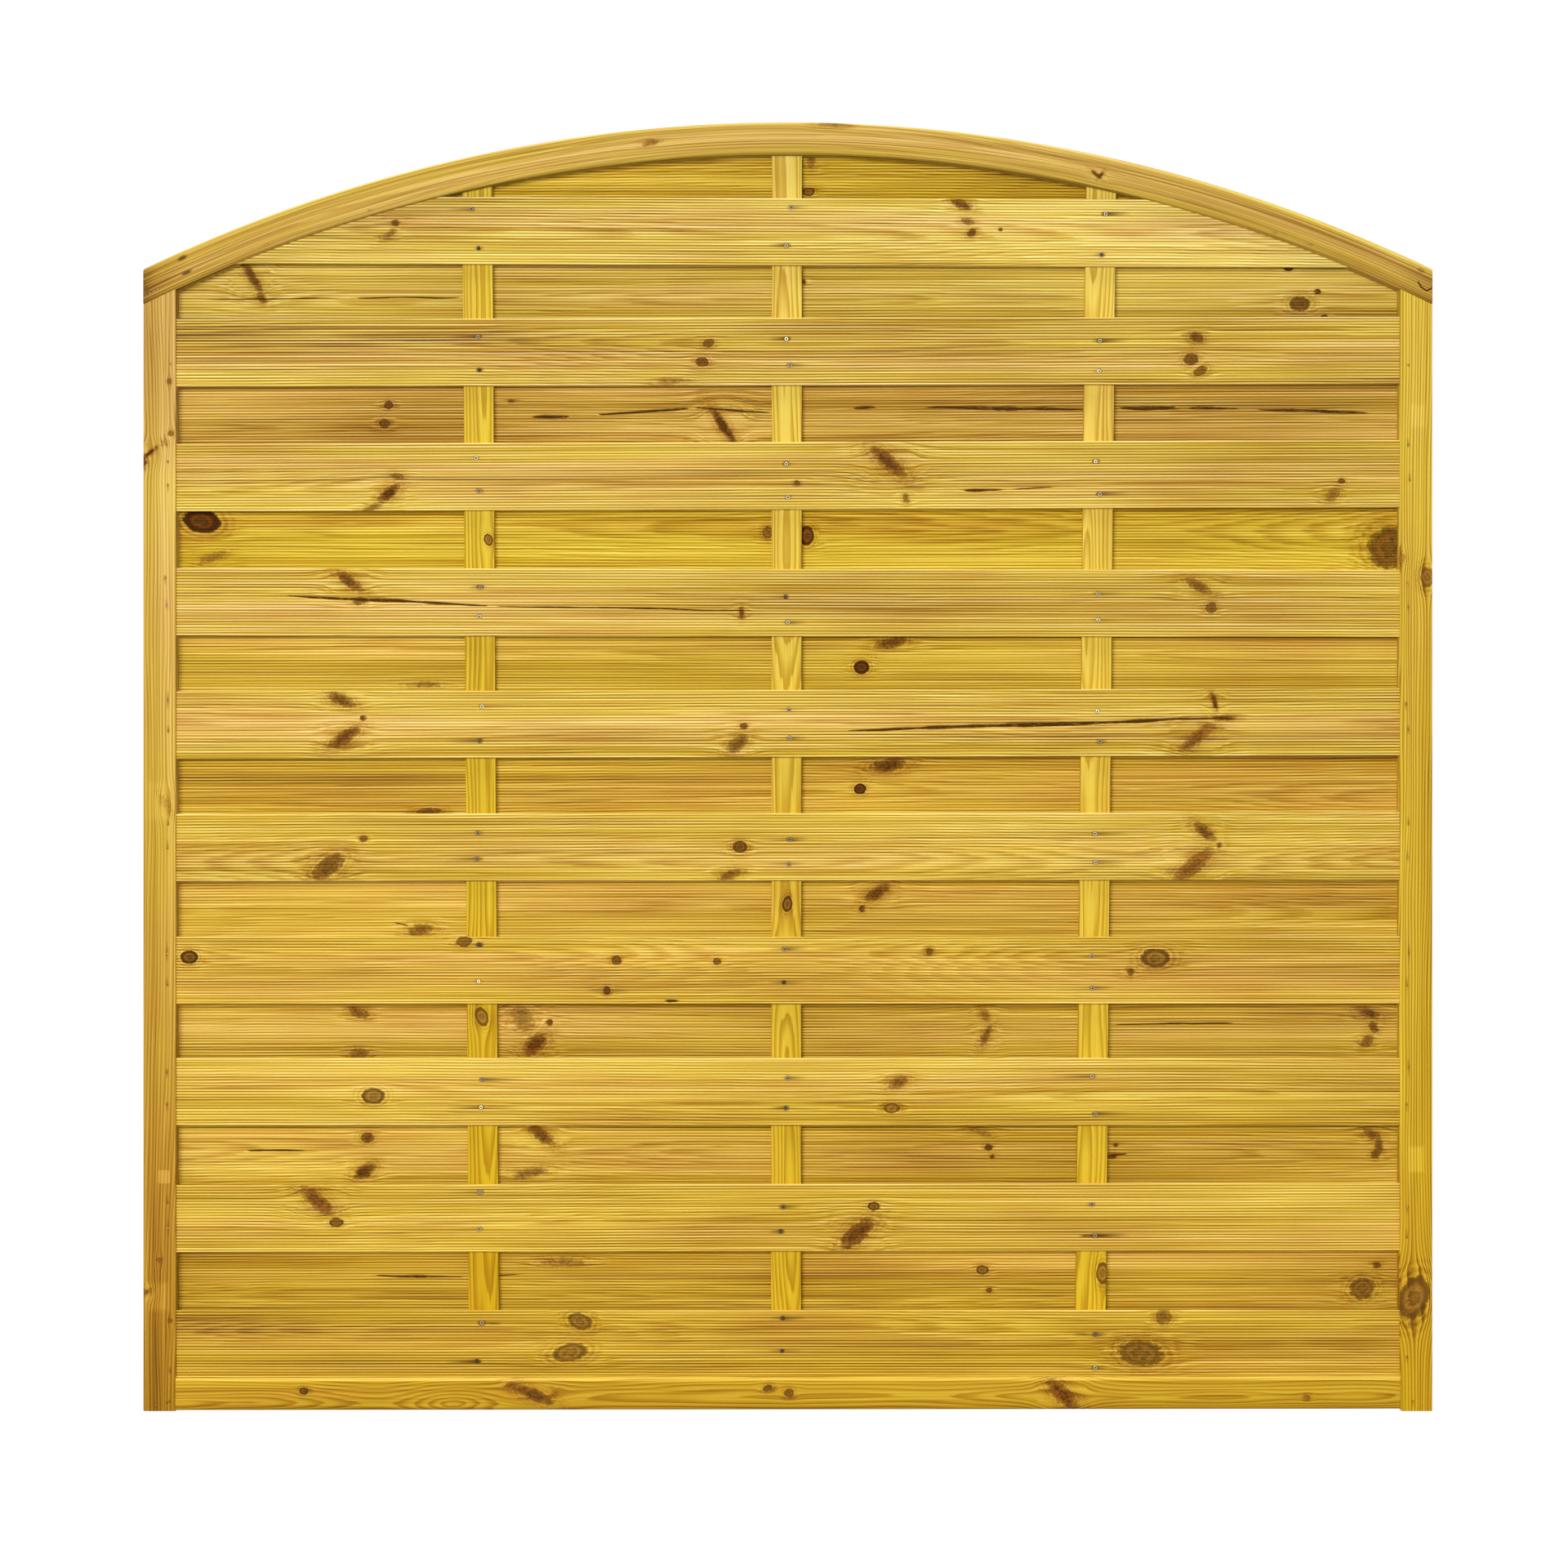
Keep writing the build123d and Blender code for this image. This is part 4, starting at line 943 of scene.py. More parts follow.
def pin_dents(U, W, Y, side, pins, surface=HALF_D):
    """small funnels round the pins, on the front (side -1) or back (1) face. Returns Y and the stain round them"""
    st = np.zeros_like(Y)
    for pu, pw in pins:
        d = np.hypot(U - pu, W - pw)
        on = (side * Y > surface - 0.6)
        Y = np.where(on & (d < 1.25), side * (surface - 0.62), Y)
        st = np.maximum(st, np.where(on, 0.55 * np.clip((2.6 - d) / 1.3, 0, 1), 0))
    return Y, st


def stile_piece(side):
    R = 2.5
    pins_f = PINS_LEFT if side < 0 else PINS_RIGHT
    pins_b = [p for p in REAR_PINS if p[0] * side > 0]
    # ring in (distance from the panel's middle, y), front-inner corner first
    ring = arc_pts(857.5, -20.0, R, 180, 270, 4)
    fr = clean(spread(858.4, 870.8, 0.95) + spread(871.5, 896.5, 2.9) + [883.0, 882.0, 881.0], 0.6)
    ring += [(x, -HALF_D) for x in fr]
    ring += arc_pts(897.5, -20.0, R, 270, 360, 4)
    ring += [(HALF_W, y) for y in spread(-17.0, 17.0, 4.3)]
    ring += arc_pts(897.5, 20.0, R, 0, 90, 4)
    bk = clean(spread(859.5, 870.5, 1.1) + spread(872.5, 895.5, 3.8), 0.6)[::-1]
    ring += [(x, HALF_D) for x in bk]
    ring += arc_pts(857.5, 20.0, R, 90, 180, 4)
    ring += [(INNER_X, CHEEK_IN), (877.0, CHEEK_IN), (877.0, TONGUE), (INNER_X, TONGUE), (INNER_X, 0.0),
             (INNER_X, -TONGUE), (877.0, -TONGUE), (877.0, -CHEEK_IN), (INNER_X, -CHEEK_IN)]
    ring = np.array(ring)
    spec = STILES[side]
    Zs = spread(0.0, 1552.0, 16.0) + [0.0, 0.5, 1.2, 2.2, 3.4]
    for px_, pz_ in pins_f + pins_b:
        Zs += [pz_ + d for d in (-1.0, 0.0, 1.0)]
    for k in spec["knots"]:
        ha = abs(k[2] * math.cos(math.radians(k[4]))) + abs(k[3] * math.sin(math.radians(k[4])))
        Zs += spread(k[0] - 2.2 * ha - 12, k[0] + 2.2 * ha + 12, max(6.0, ha * 0.6))
    for (x0_, y0_, x1_, y1_, amt, soft_) in spec["patches"]:
        for y_ in (y0_, y1_):
            Zs += [at(0, y_, 0)[1] + d for d in (-0.6 * soft_, 0.6 * soft_)]
    Zs = np.array([z for z in clean(Zs, 0.45) if 0 <= z <= 1552.0])
    Zs[-1] = 1552.0
    S, N = len(Zs), len(ring)
    XX = np.repeat(ring[None, :, 0], S, 0)
    YY = np.repeat(ring[None, :, 1], S, 0)
    s = np.repeat(Zs[:, None], N, 1)
    # eased foot
    rad = 2.0 if side < 0 else 3.4
    inset = np.where(s < rad, rad - np.sqrt(np.maximum(rad ** 2 - (rad - s) ** 2, 0)), 0.0)
    XX = np.minimum(XX, HALF_W - inset) if side < 0 else np.maximum(XX, INNER_X + inset)
    # a light bow of the timber is left out of the outside so that it stays in its box
    top = ARCH_Z + np.sqrt(ARCH_R_IN ** 2 - XX ** 2)
    ZZ = np.where(s < 1440.0, s, 1440.0 + (s - 1440.0) / (1552.0 - 1440.0) * (top - 1440.0))
    YY, st1 = pin_dents(XX, ZZ, YY, -1, [(abs(x), z) for x, z in pins_f])
    YY, st2 = pin_dents(XX, ZZ, YY, 1, [(abs(x), z) for x, z in pins_b])
    V = np.stack([side * XX, YY, ZZ], -1)
    val = np.zeros_like(XX)
    at_ = wood_attrs(ZZ, XX - 877.5 if side > 0 else 877.5 - XX, YY, dict(spec, deep=16.0, deep_at=-HALF_D), val, None, np.maximum(st1, st2))
    zs, tones, hearts = np.array([((960.0 - y_) * 1.14 + 875.5, t_, h_) for y_, t_, h_ in spec["along"]][::-1]).T
    at_["rings"][..., 2] += np.interp(ZZ, zs, tones)
    at_["rings"][..., 1] = np.clip(at_["rings"][..., 1] + np.interp(ZZ, zs, hearts), 0, 1)
    for (x0_, y0_, x1_, y1_, amt, soft_) in spec["patches"]:
        (xa, za), (xb, zb) = at(x0_, y1_, D_FRAME), at(x1_, y0_, D_FRAME)
        inside = np.minimum(np.minimum(side * XX - xa, xb - side * XX), np.minimum(ZZ - za, zb - ZZ))
        at_["rings"][..., 2] += amt * np.clip(inside / soft_ + 0.5, 0, 1) * (YY < -HALF_D + 3)
    w = CHEEK_IN - TONGUE
    boxes = []
    for q in (-1, 1):
        y0, y1 = q * (TONGUE + w / 2) - (w - 0.3) / 2, q * (TONGUE + w / 2) + (w - 0.3) / 2
        lo = lambda x: ARCH_Z + math.sqrt(ARCH_R_IN ** 2 - x * x)
        hi = lambda x: ARCH_Z + math.sqrt((ARCH_R_IN + 17.0) ** 2 - x * x)
        x0, x1 = sorted((side * 878.5, side * HALF_W))
        boxes.append((box_of(x0, x1, y0, y1, lo, hi), FLAT_ATTRS))
    ob = mesh_piece(("left" if side < 0 else "right") + "_stile_timber", V, at_, strips=3, flip=(side > 0), boxes=boxes, sharp=35)
    return ob


def frame_knots(listed, along_z, origin):
    """knots of a frame timber, given in the 1920 frame; origin is the place across that counts as 0"""
    out = []
    for (xp, yp, ra, rb, ang, dark, red, hard) in listed:
        x, z = at(xp, yp, D_FRAME)
        if along_z:
            out.append((z, x - origin, ra * 1.14, rb * 1.14, ang, dark, red, hard))
        else:
            out.append((x, z - origin, ra * 1.14, rb * 1.14, ang, dark, red, hard))
    return out


# stile knots: ra lies along the timber, rb across it
STILES = {
    -1: dict(seed=501, ring=4.4, pith=-42.0, deeppith=22.0, wave=2.0, heart=[(8, 10, .4)],
             knots=frame_knots([(209, 531, 3.2, 3.2, 0, .55, .3, .4), (201, 541, 5, 4, 0, .12, .7, 0),
                                (184, 554, 11, 2.6, 53, .95, .3, 0), (174, 567, 5, 5, 0, .95, .3, .3),
                                (207, 467, 2.3, 2.3, 30, .45, .7, .4), (203, 984, 4, 12, 60, .03, .2, 0),
                                (195, 1543, 2.6, 3, 0, .6, .3, .5), (178, 1583, 8, 2.6, 62, .6, .3, 0),
                                (209, 1617, 2.3, 2.3, 0, .45, .3, .5)], True, -877.5),
             along=[(370, -1.2, .95), (450, -1.0, 1.0), (540, 0.0, .8), (600, 1.3, .05), (760, .9, .15), (950, .6, .2),
                    (1150, 0.0, .3), (1400, -1.0, .6), (1560, -1.8, .6), (1728, -4.2, .9)],
             patches=[(193, 1433, 208, 1449, 3.4, 1.2), (182, 1572, 206, 1604, 2.2, 9.0), (180, 958, 206, 1004, 1.2, 10.0)]),
    1: dict(seed=509, ring=4.0, pith=52.0, deeppith=18.0, wave=2.0, heart=[(-6, 8, .2)],
            knots=frame_knots([(1748, 707, 12, 8, 0, .6, .25, .5), (1731.5, 1589, 25, 16.5, 20, .62, .2, .7),
                               (1717, 684, 6, 4, 0, .2, .4, .3)], True, 877.5),
            along=[(370, -.3, 0), (600, .3, .05), (900, -.8, .15), (1200, .3, .05), (1500, -.2, .1), (1728, -1.8, .2)],
            patches=[(1727, 495, 1746, 523, 1.4, 6.0), (1726, 1404, 1744, 1435, 2.8, 4.5)]),
}
for side, label in ((-1, "left"), (1, "right")):
    ob = stile_piece(side)
    ob.data.materials.append(wood(label + "_stile_wood", level=.46 if side < 0 else .51, late=.16 if side < 0 else .24, big=.6, mid=.5, fine=.6,
                                  line=.4 if side < 0 else .7, rise=(.42, .66),
                                  tint=(1, .985, 1.22) if side < 0 else (1, .985, .66)))
    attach(ob, "root")
    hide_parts(label + "_stile")
    pieces.append(ob)


def arch_piece():
    RR = 5.5
    lam = [9.2, 18.0, 26.8, 35.6]        # glue lines, from the outer edge
    rin, rout = ARCH_R_IN, ARCH_R_OUT
    half = HALF_D

    def face(rows_extra, up):
        """radii of one side face with fine grooves at the glue lines"""
        rows = spread(rin + RR, rout - RR, 3.0) + rows_extra
        grooves = []
        for d in lam:
            grooves += [rout - d - 0.45, rout - d, rout - d + 0.45]
        rows = [r for r in rows if all(abs(r - g) > 0.5 for g in grooves)] + grooves
        rows = clean(rows, 0.3)
        dips = [0.28 if any(abs(r - (rout - d)) < 0.05 for d in lam) else 0.0 for r in rows]
        pairs = list(zip(rows, dips))
        return pairs if up else pairs[::-1]

    ring, dip = [], []

    def add(r, y, d=0.0):
        ring.append((r, y))
        dip.append(d)

    for y, r in arc_pts(-half + RR, rin + RR, RR, 270, 180, 5)[:-1]:
        add(r, y)
    for r, d in face(spread(2037.5, 2047.5, 0.95) + spread(2065.5, 2069.5, 0.95), True):
        add(r, -half + d, d)
    for y, r in arc_pts(-half + RR, rout - RR, RR, 180, 90, 5)[1:]:
        add(r, y)
    for y in spread(-half + RR + 3, half - RR - 3, 4.0):
        add(rout, y)
    for y, r in arc_pts(half - RR, rout - RR, RR, 90, 0, 5)[:-1]:
        add(r, y)
    for r, d in face(spread(2037.5, 2046.5, 1.1), False):
        add(r, half - d, d)
    for y, r in arc_pts(half - RR, rin + RR, RR, 0, -90, 5)[1:]:
        add(r, y)
    add(rin, CHEEK_IN); add(rin + 18, CHEEK_IN); add(rin + 18, TONGUE); add(rin, TONGUE)
    add(rin, 0.0)
    add(rin, -TONGUE); add(rin + 18, -TONGUE); add(rin + 18, -CHEEK_IN); add(rin, -CHEEK_IN)
    ring, dip = np.array(ring), np.array(dip)
    spec = ARCH
    half_arc = math.asin(HALF_W / 2054.5) * 2054.5
    T = spread(-half_arc, half_arc, 13.0)
    for x, z in PINS_ARCH + PINS_ARCH_REAR:
        c = math.atan2(x, z - ARCH_Z) / math.asin(HALF_W / math.hypot(x, z - ARCH_Z)) * half_arc
        T += [c + d for d in (-1.9, -0.95, 0.0, 0.95, 1.9)]
    T += spread(-half_arc, -half_arc + 70.0, 3.0)
    for k in spec["knots"]:
        ha = abs(k[2] * math.cos(math.radians(k[4]))) + abs(k[3] * math.sin(math.radians(k[4])))
        T += spread(k[0] - 2.6 * ha - 14, k[0] + 2.6 * ha + 14, max(3.5, ha * 0.5))
    T += spread(half_arc - 26.0, half_arc, 1.6)
    T = np.array([t for t in clean(T, 0.45) if abs(t) <= half_arc])
    T[0], T[-1] = -half_arc, half_arc
    S, N = len(T), len(ring)
    r = np.repeat(ring[None, :, 0], S, 0)
    y = np.repeat(ring[None, :, 1], S, 0)
    phi = (T[:, None] / half_arc) * np.arcsin(HALF_W / r)
    X, Z = r * np.sin(phi), ARCH_Z + r * np.cos(phi)
    y, s1 = pin_dents(X, Z, y, -1, PINS_ARCH)
    y, s2 = pin_dents(X, Z, y, 1, PINS_ARCH_REAR)
    # a curved split behind the right-hand end pin
    crack = np.zeros_like(X)
    pts = [at(1737, 346, 0), at(1741, 352, 0), at(1747, 356, 0), at(1752, 354, 0), at(1755.5, 349, 0)]
    for (xa, za), (xb, zb) in zip(pts, pts[1:]):
        L = (xb - xa) ** 2 + (zb - za) ** 2
        u = np.clip(((X - xa) * (xb - xa) + (Z - za) * (zb - za)) / L, 0, 1)
        d = np.hypot(X - xa - u * (xb - xa), Z - za - u * (zb - za))
        crack = np.maximum(crack, np.clip(1.5 - d / 1.1, 0, 1) * (y < -half + 0.7))
    y = y + 1.0 * crack
    V = np.stack([X, y, Z], -1)
    layer = np.searchsorted(np.array(sorted(rout - d for d in lam)), r - 0.01)
    u = np.repeat(T[:, None], N, 1) + layer * 311.0
    val = np.repeat(dip[None, :], S, 0) / 0.28
    at_ = wood_attrs(np.repeat(T[:, None], N, 1), r - 2054.5, y, dict(spec, deep=14.0, deep_at=-HALF_D), val * 1.0, crack, np.maximum(s1, s2))
    at_["grain"][..., 0] += layer * 0.311
    at_["grain"][..., 1] += layer * 0.017
    at_["rings"][..., 0] += layer * 0.37
    # each glued layer its own tone, and a painted highlight along the arch's outer edge where it catches the light from
    # above
    tone = np.array([0.9, -0.7, 0.35, -0.35, 1.4])
    at_["rings"][..., 2] += tone[layer] + 2.0 * np.clip((r - (rout - 3.0)) / 1.5, 0, 1)
    # weathered ends, and dark lenses round the two sunk nails and one pin
    at_["rings"][..., 2] -= np.interp(T, [-half_arc, -half_arc + 22, -half_arc + 70, half_arc - 60, half_arc], [5.5, 2.5, 0, 0, 2.5])[:, None]
    for xs, ys, ls, ws, amt in ((223, 316, 6.0, 2.3, .9), (228.5, 333.5, 6.5, 2.3, .9), (1740, 331, 5, 2.0, .6), (178, 352, 3.5, 9, .45)):
        px_, pz_ = at(xs, ys, D_FRAME)
        ph = math.atan2(px_, pz_ - ARCH_Z)
        du = (phi - ph) * 2054.5
        dv = r - math.hypot(px_, pz_ - ARCH_Z)
        d = np.hypot(du / (ls * 1.14), dv / (ws * 1.14))
        at_["wear"][..., 2] = np.maximum(at_["wear"][..., 2], amt * np.clip((1.3 - d) / 0.6, 0, 1) * (y < -half + 1.5))
    return mesh_piece("arched_top_rail_timber", V, at_, strips=3, sharp=33)


def arch_knots(listed):
    out = []
    for (xp, yp, ra, rb, ang, dark, red, hard) in listed:
        x, z = at(xp, yp, D_FRAME)
        rad, ph = math.hypot(x, z - ARCH_Z), math.atan2(x, z - ARCH_Z)
        out.append((ph * 2054.5, rad - 2054.5, ra * 1.14, rb * 1.14, ang, dark, red, hard))
    return out


ARCH = dict(seed=523, ring=5.0, pith=0.0, deeppith=30.0, wave=1.0, heart=[(-4, 12, .6)],
            knots=arch_knots([(796, 175, 9, 3.5, 10, .5, .2, .2), (1341, 213, 7, 2.4, -30, .85, 0, .2),
                              (1347, 214, 6, 2.2, 50, .9, 0, .2), (1018, 152, 16, 4, 0, .45, .2, 0)]))
ob = arch_piece()
ob.data.materials.append(wood("arch_wood", tint=(1, 1, 1.22), level=.31, late=.10, valley=.18, big=.5, mid=.75, fine=.8, heart=.2, line=.3))
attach(ob, "root")
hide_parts("arched_top_rail")
pieces.append(ob)


def rail_piece():
    RR = 5.5
    ring = []
    z0 = 0.0
    H = 45.0
    ring += [(y, z) for y, z in arc_pts(-HALF_D + RR, RR, RR, 270, 180, 5)[:-1]]
    ring += [(-HALF_D, z) for z in clean(spread(RR, H - RR, 2.1), 0.5)]
    ring += [(y, z) for y, z in arc_pts(-HALF_D + RR, H - RR, RR, 180, 90, 5)[1:]]
    ring += [(y, H) for y in spread(-HALF_D + RR + 3, HALF_D - RR - 3, 4.5)]
    ring += [(y, z) for y, z in arc_pts(HALF_D - RR, H - RR, RR, 90, 0, 5)[:-1]]
    ring += [(HALF_D, z) for z in spread(RR, H - RR, 3.4)[::-1]]
    ring += [(y, z) for y, z in arc_pts(HALF_D - RR, RR, RR, 0, -90, 5)[1:]]
    ring += [(y, 0.0) for y in spread(-HALF_D + RR + 3, HALF_D - RR - 3, 4.5)[::-1]]
    ring = np.array(ring)
    spec = RAIL
    X = spread(-INNER_X, INNER_X, 12.0)
    for k in spec["knots"]:
        ha = abs(k[2] * math.cos(math.radians(k[4]))) + abs(k[3] * math.sin(math.radians(k[4])))
        X += spread(k[0] - 2.6 * ha - 14, k[0] + 2.6 * ha + 14, max(3.5, ha * 0.5))
    X = np.array([x for x in clean(X, 0.8) if abs(x) <= INNER_X])
    X[0], X[-1] = -INNER_X, INNER_X
    S, N = len(X), len(ring)
    XX = np.repeat(X[:, None], N, 1)
    foot = 0.8 + 2.0 * (XX + INNER_X) / (2 * INNER_X)
    YY = np.repeat(ring[None, :, 0], S, 0)
    ZZ = foot + ring[None, :, 1]
    V = np.stack([XX, YY, ZZ], -1)
    at_ = wood_attrs(XX, ring[None, :, 1] - 22.5 + 0 * XX, YY, dict(spec, deep=16.0, deep_at=-HALF_D))
    # painted highlight: the rail's top rounding and top face made paler, where they catch the light from above
    at_["rings"][..., 2] += 3.4 * np.clip((ring[None, :, 1] - (H - RR)) / 1.5, 0, 1)
    w = CHEEK_IN - TONGUE
    boxes = []
    for side in (-1, 1):
        f = 0.8 if side < 0 else 2.8
        for q in (-1, 1):
            y0, y1 = q * (TONGUE + w / 2) - (w - 0.3) / 2, q * (TONGUE + w / 2) + (w - 0.3) / 2
            x0, x1 = sorted((side * INNER_X, side * 875.5))
            boxes.append((box_of(x0, x1, y0, y1, lambda x: f + 7.0, lambda x: f + 38.0), FLAT_ATTRS))
    return mesh_piece("bottom_rail_timber", V, at_, strips=3, boxes=boxes, sharp=35)


RAIL = dict(seed=541, ring=4.4, pith=-5.0, deeppith=24.0, wave=3.0, flame=.75, flame_len=190.0, heart=[(0, 8, .2)],
            knots=frame_knots([(372, 1703, 5, 4, 0, .85, .2, .9), (940, 1700, 6, 4, 15, .8, .2, .5), (966, 1706, 6, 5, 0, .75, .3, .4),
                               (655, 1708, 25, 7, -24, .8, .3, .1), (628, 1697, 8, 4, -20, .6, .3, .1),
                               (1301, 1708, 25, 9, -44, .85, .7, .1), (1600, 1712, 4, 3, 0, .5, .2, .3)], False, 24.0))
ob = rail_piece()
ob.data.materials.append(wood("rail_wood", level=.44, late=.19, big=.7, mid=.55, fine=.6, line=.5, tint=(1, .98, .85)))
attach(ob, "root")
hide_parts("bottom_rail")
pieces.append(ob)


# ------------------------------------------------------------------ battens
def batten_piece(name, spec):
    h, t, r = 21.0, 7.95, 1.2
    ring = arc_pts(-h + r, -t + r, r, 180, 270, 3)
    ring += [(x, -t) for x in spread(-h + r + 1.0, h - r - 1.0, 2.0)]
    ring += arc_pts(h - r, -t + r, r, 270, 360, 3)
    ring += [(h, y) for y in (-3.0, 3.0)]
    ring += arc_pts(h - r, t - r, r, 0, 90, 3)
    ring += [(x, t) for x in spread(-h + r + 1.0, h - r - 1.0, 5.0)[::-1]]
    ring += arc_pts(-h + r, t - r, r, 90, 180, 3)
    ring += [(-h, y) for y in (3.0, -3.0)]
    ring = np.array(ring)
    Zs = spread(46.0, 1760.0, 24.0)
    for k in spec["knots"]:
        Zs += spread(k[0] - 2.6 * k[2] - 14, k[0] + 2.6 * k[2] + 14, max(3.0, k[2] * 0.5))
    Zs = np.array([z for z in clean(Zs, 0.8) if 46.0 <= z <= 1760.0])
    Zs[0], Zs[-1] = 46.0, 1760.0
    S, N = len(Zs), len(ring)
    s = np.repeat(Zs[:, None], N, 1)
    x1, x0 = BATTEN_X[name]
    mid = x0 + (x1 - x0) * (s - 179.0) / (1562.0 - 179.0)
    X = mid + ring[None, :, 0]
    Y = np.repeat(ring[None, :, 1], S, 0)
    roof = ARCH_Z + np.sqrt(ARCH_R_IN ** 2 - X ** 2)
    foot = 45.8 + 2.0 * (X + INNER_X) / (2 * INNER_X)
    lo_, hi_ = 120.0, 1560.0
    Z = np.where(s < lo_, foot + (s - 46.0) / (lo_ - 46.0) * (lo_ - foot), s)
    Z = np.where(s > hi_, hi_ + (s - hi_) / (1760.0 - hi_) * (roof - hi_), Z)
    V = np.stack([X, Y, Z], -1)
    at_ = wood_attrs(Z, X - mid, Y, dict(spec, deep=13.0, deep_at=-t))
    return mesh_piece("batten_" + name + "_timber", V, at_, strips=3, flip=True, sharp=35)


def batten_knots(name, listed):
    out = []
    for (xp, yp, ra, rb, ang, dark, red, hard) in listed:
        x, z = at(xp, yp, D_BATTEN)
        out.append((z, x - batten_x(name, z), ra * 1.143, rb * 1.143, ang, dark, red, hard))
    return out


BATTENS = {
    "left": dict(seed=601, ring=5.6, pith=5.0, deeppith=24.0, flame=.6, flame_len=260.0, wave=1.6, level=.50, tint=(1, .97, .44),
                 knots=batten_knots("left", [(598, 661, 7, 5, -20, .65, .3, 1), (590, 1245, 11, 7, -20, .5, .4, 1)])),
    "centre": dict(seed=607, ring=5.0, pith=2.0, deeppith=22.0, flame=.7, flame_len=240.0, wave=1.6, level=.57, tint=(1, .97, .66),
                   knots=batten_knots("centre", [(964, 1107, 9, 5.5, 5, .8, .4, 1)])),
    "right": dict(seed=613, ring=5.2, pith=-7.0, deeppith=22.0, flame=.6, flame_len=280.0, wave=1.4, level=.62, tint=(1, .95, .62),
                  knots=batten_knots("right", [(1350, 1559, 12, 7, 0, .45, .3, 1)])),
}
for name, spec in BATTENS.items():
    ob = batten_piece(name, spec)
    ob.data.materials.append(wood("batten_%s_wood" % name, level=spec["level"], late=.18, big=.4, mid=.25, fine=.35,
                                  line=.8, tint=spec["tint"], rise=(.24, .92)))
    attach(ob, "root")
    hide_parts("batten_" + name)
    pieces.append(ob)


# ------------------------------------------------------------------ nails and pins
def turned(profile, segs, places, name, sign, wear, sink=None):
    """bodies turned about Y, one at each place. profile is (radius, y) from the head's middle to the tip"""
    prof = np.array(profile)
    P = len(prof)
    vs, faces, wr = [], [], []
    ang = np.arange(segs) / segs * 2 * math.pi
    for k, (x, z) in enumerate(places):
        base = len(vs)
        dy = 0.0 if sink is None else sink[k]
        lean = 0.25 * math.sin(5.3 * k), 0.25 * math.cos(3.7 * k)
        for j, (r, y) in enumerate(prof):
            if r < 1e-6:
                vs.append((x, sign * -(y + dy), z))
                wr.append(wear(k, r, j))
            else:
                for a in ang:
                    vs.append((x + r * math.cos(a), sign * -(y + dy) , z + r * math.sin(a)))
                    wr.append(wear(k, r, j))
        idx, at_j = [], base
        for r, y in prof:
            n = 1 if r < 1e-6 else segs
            idx.append(list(range(at_j, at_j + n)))
            at_j += n
        for a, b in zip(idx, idx[1:]):
            for q in range(segs):
                f = [a[q % len(a)], a[(q + 1) % len(a)], b[(q + 1) % len(b)], b[q % len(b)]]
                g = []
                for v in f:
                    if v not in g:
                        g.append(v)
                faces.append(g if sign > 0 else g[::-1])
    me = bpy.data.meshes.new(name)
    me.from_pydata([(a * 0.001, b * 0.001, c * 0.001) for a, b, c in vs], [], faces)
    layer = me.attributes.new("wear", "FLOAT_VECTOR", "POINT")
    layer.data.foreach_set("vector", np.repeat(np.array(wr)[:, None], 3, 1).astype(np.float32).ravel())
    me.validate()
    me.shade_smooth()
    me.set_sharp_from_angle(angle=math.radians(40))
    ob = bpy.data.objects.new(name, me)
    bpy.context.scene.collection.objects.link(ob)
    return ob


# head and shank, as (radius, distance of the point behind the panel's middle plane towards the nail's head)
NAIL = [(0.0, 14.25), (0.7, 14.28), (1.15, 14.58), (1.5, 14.69), (2.45, 14.68), (2.85, 14.5), (3.0, 14.2), (3.0, 13.62),
        (2.7, 13.5), (1.2, 13.5), (1.2, -4.3), (0.55, -6.0), (0.0, -7.2)]
PIN = [(0.0, 22.24), (0.5, 22.22), (0.78, 22.05), (0.8, 21.6), (0.8, 9.8), (0.0, 8.3)]

nail_mat = steel("nail_steel_worn", srgb(200, 188, 158), 0.36, srgb(52, 38, 20))
pin_mat = steel("pin_steel_worn", srgb(190, 180, 156), 0.36, srgb(70, 52, 30))

flat_nails = [p for row in FRONT_NAILS for p in row]
flat_dull = [d for row in NAIL_DULL for d in row]
front_nails = turned(NAIL, 14, flat_nails, "front_batten_nails_steel", 1,
                     lambda k, r, j: (1.0 if j <= 1 else 0.7 if j == 2 else 0.1 if j <= 5 else 0.7) + flat_dull[k] * 0.95,
                     sink=[-0.35 * d for d in flat_dull])
rear_list = [p for row in REAR_NAILS for p in row]
rear_nails = turned(NAIL, 12, rear_list, "rear_batten_nails_steel", -1,
                    lambda k, r, j: (1.0 if j <= 1 else 0.75 if j == 2 else 0.08 if j <= 5 else 0.6) + (0.7 if k % 5 == 2 else 0.0))
pin_dull = [0.0 if k % 5 == 0 else 0.9 for k in range(len(PINS_LEFT) + len(PINS_RIGHT))]
pin_dull += [0.9, 0.9, 0.0, 0.0, 0.0, 0.5, 0.2, 0.0, 0.0, 0.0, 0.0]
front_pins = turned(PIN, 8, PINS_LEFT + PINS_RIGHT + PINS_ARCH, "front_frame_pins_steel", 1,
                    lambda k, r, j: 0.05 + pin_dull[k])
rear_pins = turned(PIN, 8, REAR_PINS + PINS_ARCH_REAR, "rear_frame_pins_steel", -1,
                   lambda k, r, j: 0.15 + (0.7 if k % 3 else 0.0))
for ob, node, mat, slot in ((front_nails, "front_batten_nails", nail_mat, "nail_steel"),
                            (rear_nails, "rear_batten_nails", nail_mat, "nail_steel"),
                            (front_pins, "front_frame_pins", pin_mat, "pin_steel"),
                            (rear_pins, "rear_frame_pins", pin_mat, "pin_steel")):
    ob.data.materials.append(mat)
    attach(ob, "root")
    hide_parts(node)
    pieces.append(ob)

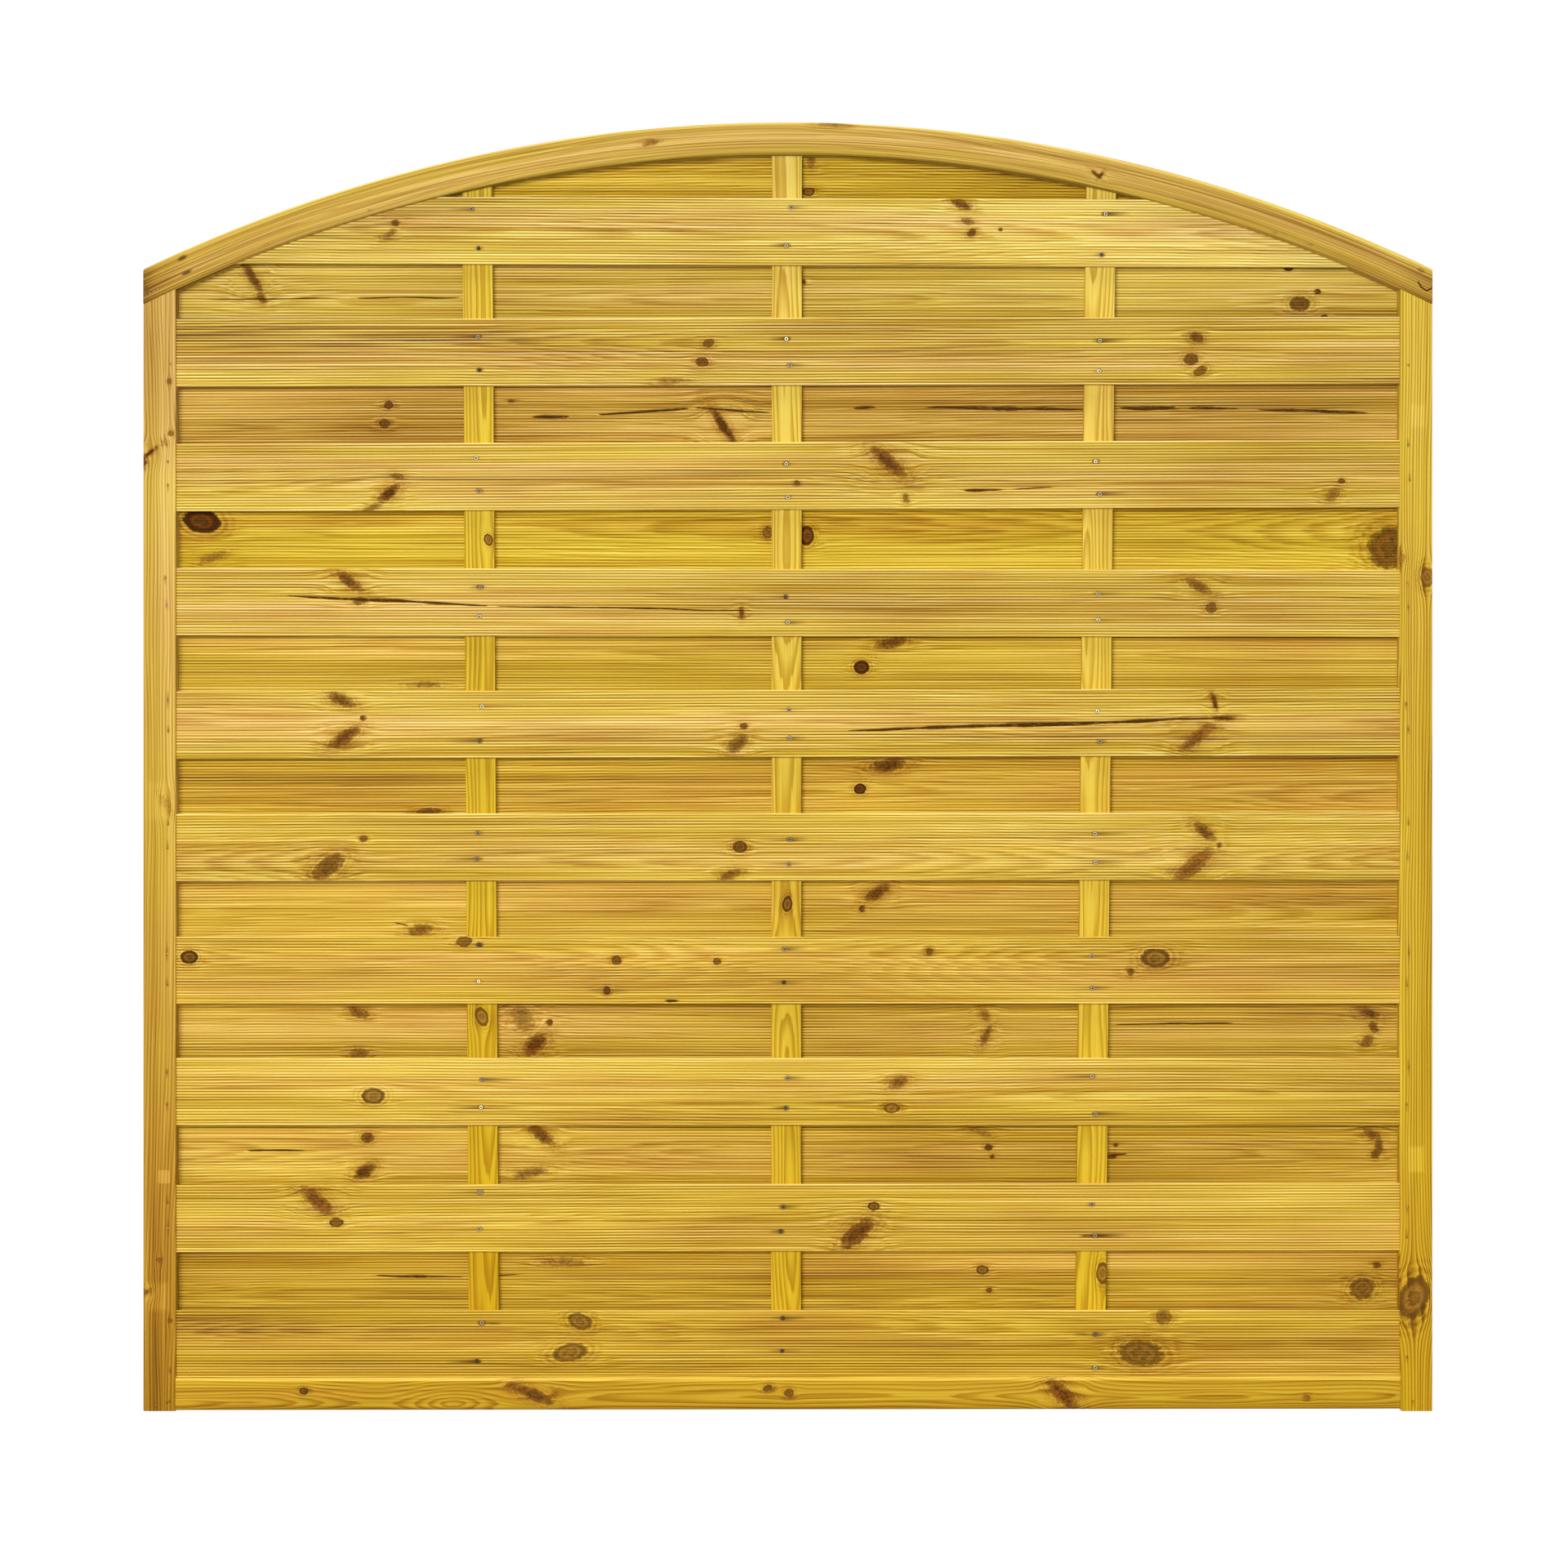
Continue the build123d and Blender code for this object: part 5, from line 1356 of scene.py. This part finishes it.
# ------------------------------------------------------------------ floor and light
floor_me = bpy.data.meshes.new("floor")
floor_me.from_pydata([(-60, -60, 0), (60, -60, 0), (60, 60, 0), (-60, 60, 0)], [], [(0, 1, 2, 3)])
floor = bpy.data.objects.new("floor", floor_me)
bpy.context.scene.collection.objects.link(floor)
fmat = bpy.data.materials.new("pale_floor")
fg = Nodes(fmat)
fb = fg.new("ShaderNodeBsdfDiffuse")
fb.inputs["Color"].default_value = (0.42, 0.42, 0.42, 1)
# the floor runs out into the white of the studio
fe = fg.new("ShaderNodeEmission")
fe.inputs["Color"].default_value = (1, 1, 1, 1)
fe.inputs["Strength"].default_value = 1.05
where = fg.new("ShaderNodeTexCoord").outputs["Object"]
far = fg.new("ShaderNodeVectorMath", operation="LENGTH")
fg.put(far.inputs[0], where)
away = fg.math("MULTIPLY_ADD", fg.ramp01(far.outputs["Value"], 0.7, 2.6), 0.07, 0.93)
cam_ray = fg.new("ShaderNodeLightPath").outputs["Is Camera Ray"]
fm = fg.new("ShaderNodeMixShader")
fg.put(fm.inputs[0], fg.math("MULTIPLY", away, cam_ray))
fg.t.links.new(fb.outputs[0], fm.inputs[1])
fg.t.links.new(fe.outputs[0], fm.inputs[2])
fo = fg.new("ShaderNodeOutputMaterial")
fg.t.links.new(fm.outputs[0], fo.inputs["Surface"])
floor_me.materials.append(fmat)
floor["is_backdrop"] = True

world = bpy.data.worlds.new("studio")
bpy.context.scene.world = world
world.use_nodes = True
world.node_tree.nodes.clear()
wt = world.node_tree
bg = wt.nodes.new("ShaderNodeBackground")
bg.inputs["Color"].default_value = (1, 1, 1, 1)
bg.inputs["Strength"].default_value = 0.2
seen = wt.nodes.new("ShaderNodeBackground")
seen.inputs["Color"].default_value = (1, 1, 1, 1)
seen.inputs["Strength"].default_value = 1.05
path = wt.nodes.new("ShaderNodeLightPath")
mixw = wt.nodes.new("ShaderNodeMixShader")
wo = wt.nodes.new("ShaderNodeOutputWorld")
wt.links.new(path.outputs["Is Camera Ray"], mixw.inputs[0])
wt.links.new(bg.outputs[0], mixw.inputs[1])
wt.links.new(seen.outputs[0], mixw.inputs[2])
wt.links.new(mixw.outputs[0], wo.inputs["Surface"])


def area(name, loc, target, size, power):
    d = bpy.data.lights.new(name, "AREA")
    d.shape = "RECTANGLE"
    d.size, d.size_y = size
    d.energy = power
    o = bpy.data.objects.new(name, d)
    o.location = loc
    o.rotation_euler = (Vector(target) - Vector(loc)).to_track_quat("-Z", "Y").to_euler()
    o.visible_camera = False
    bpy.context.scene.collection.objects.link(o)
    return o


area("key", (-1.3, -7.2, 2.3), (0, 0, 0.9), (2.8, 2.0), 494.0)
area("top", (0.0, -0.8, 5.2), (0, -0.1, 0.9), (3.4, 1.2), 150.0)
area("back_key", (1.3, 7.2, 2.6), (0, 0, 0.9), (2.8, 2.0), 460.0)
area("left_side", (-6.5, 0.0, 1.5), (0, 0, 0.9), (0.5, 2.4), 190.0)
area("right_side", (6.5, 0.0, 1.5), (0, 0, 0.9), (0.5, 2.4), 190.0)

lo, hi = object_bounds()
{"cad": CAD_BOX, "visual": [list(lo), list(hi)]}
tris = {o.name: sum(len(p.vertices) - 2 for p in o.data.polygons) for o in pieces}
print("triangles", sum(tris.values()), max(tris.items(), key=lambda t: t[1]))
print({k: v for k, v in tris.items() if v > 30000})
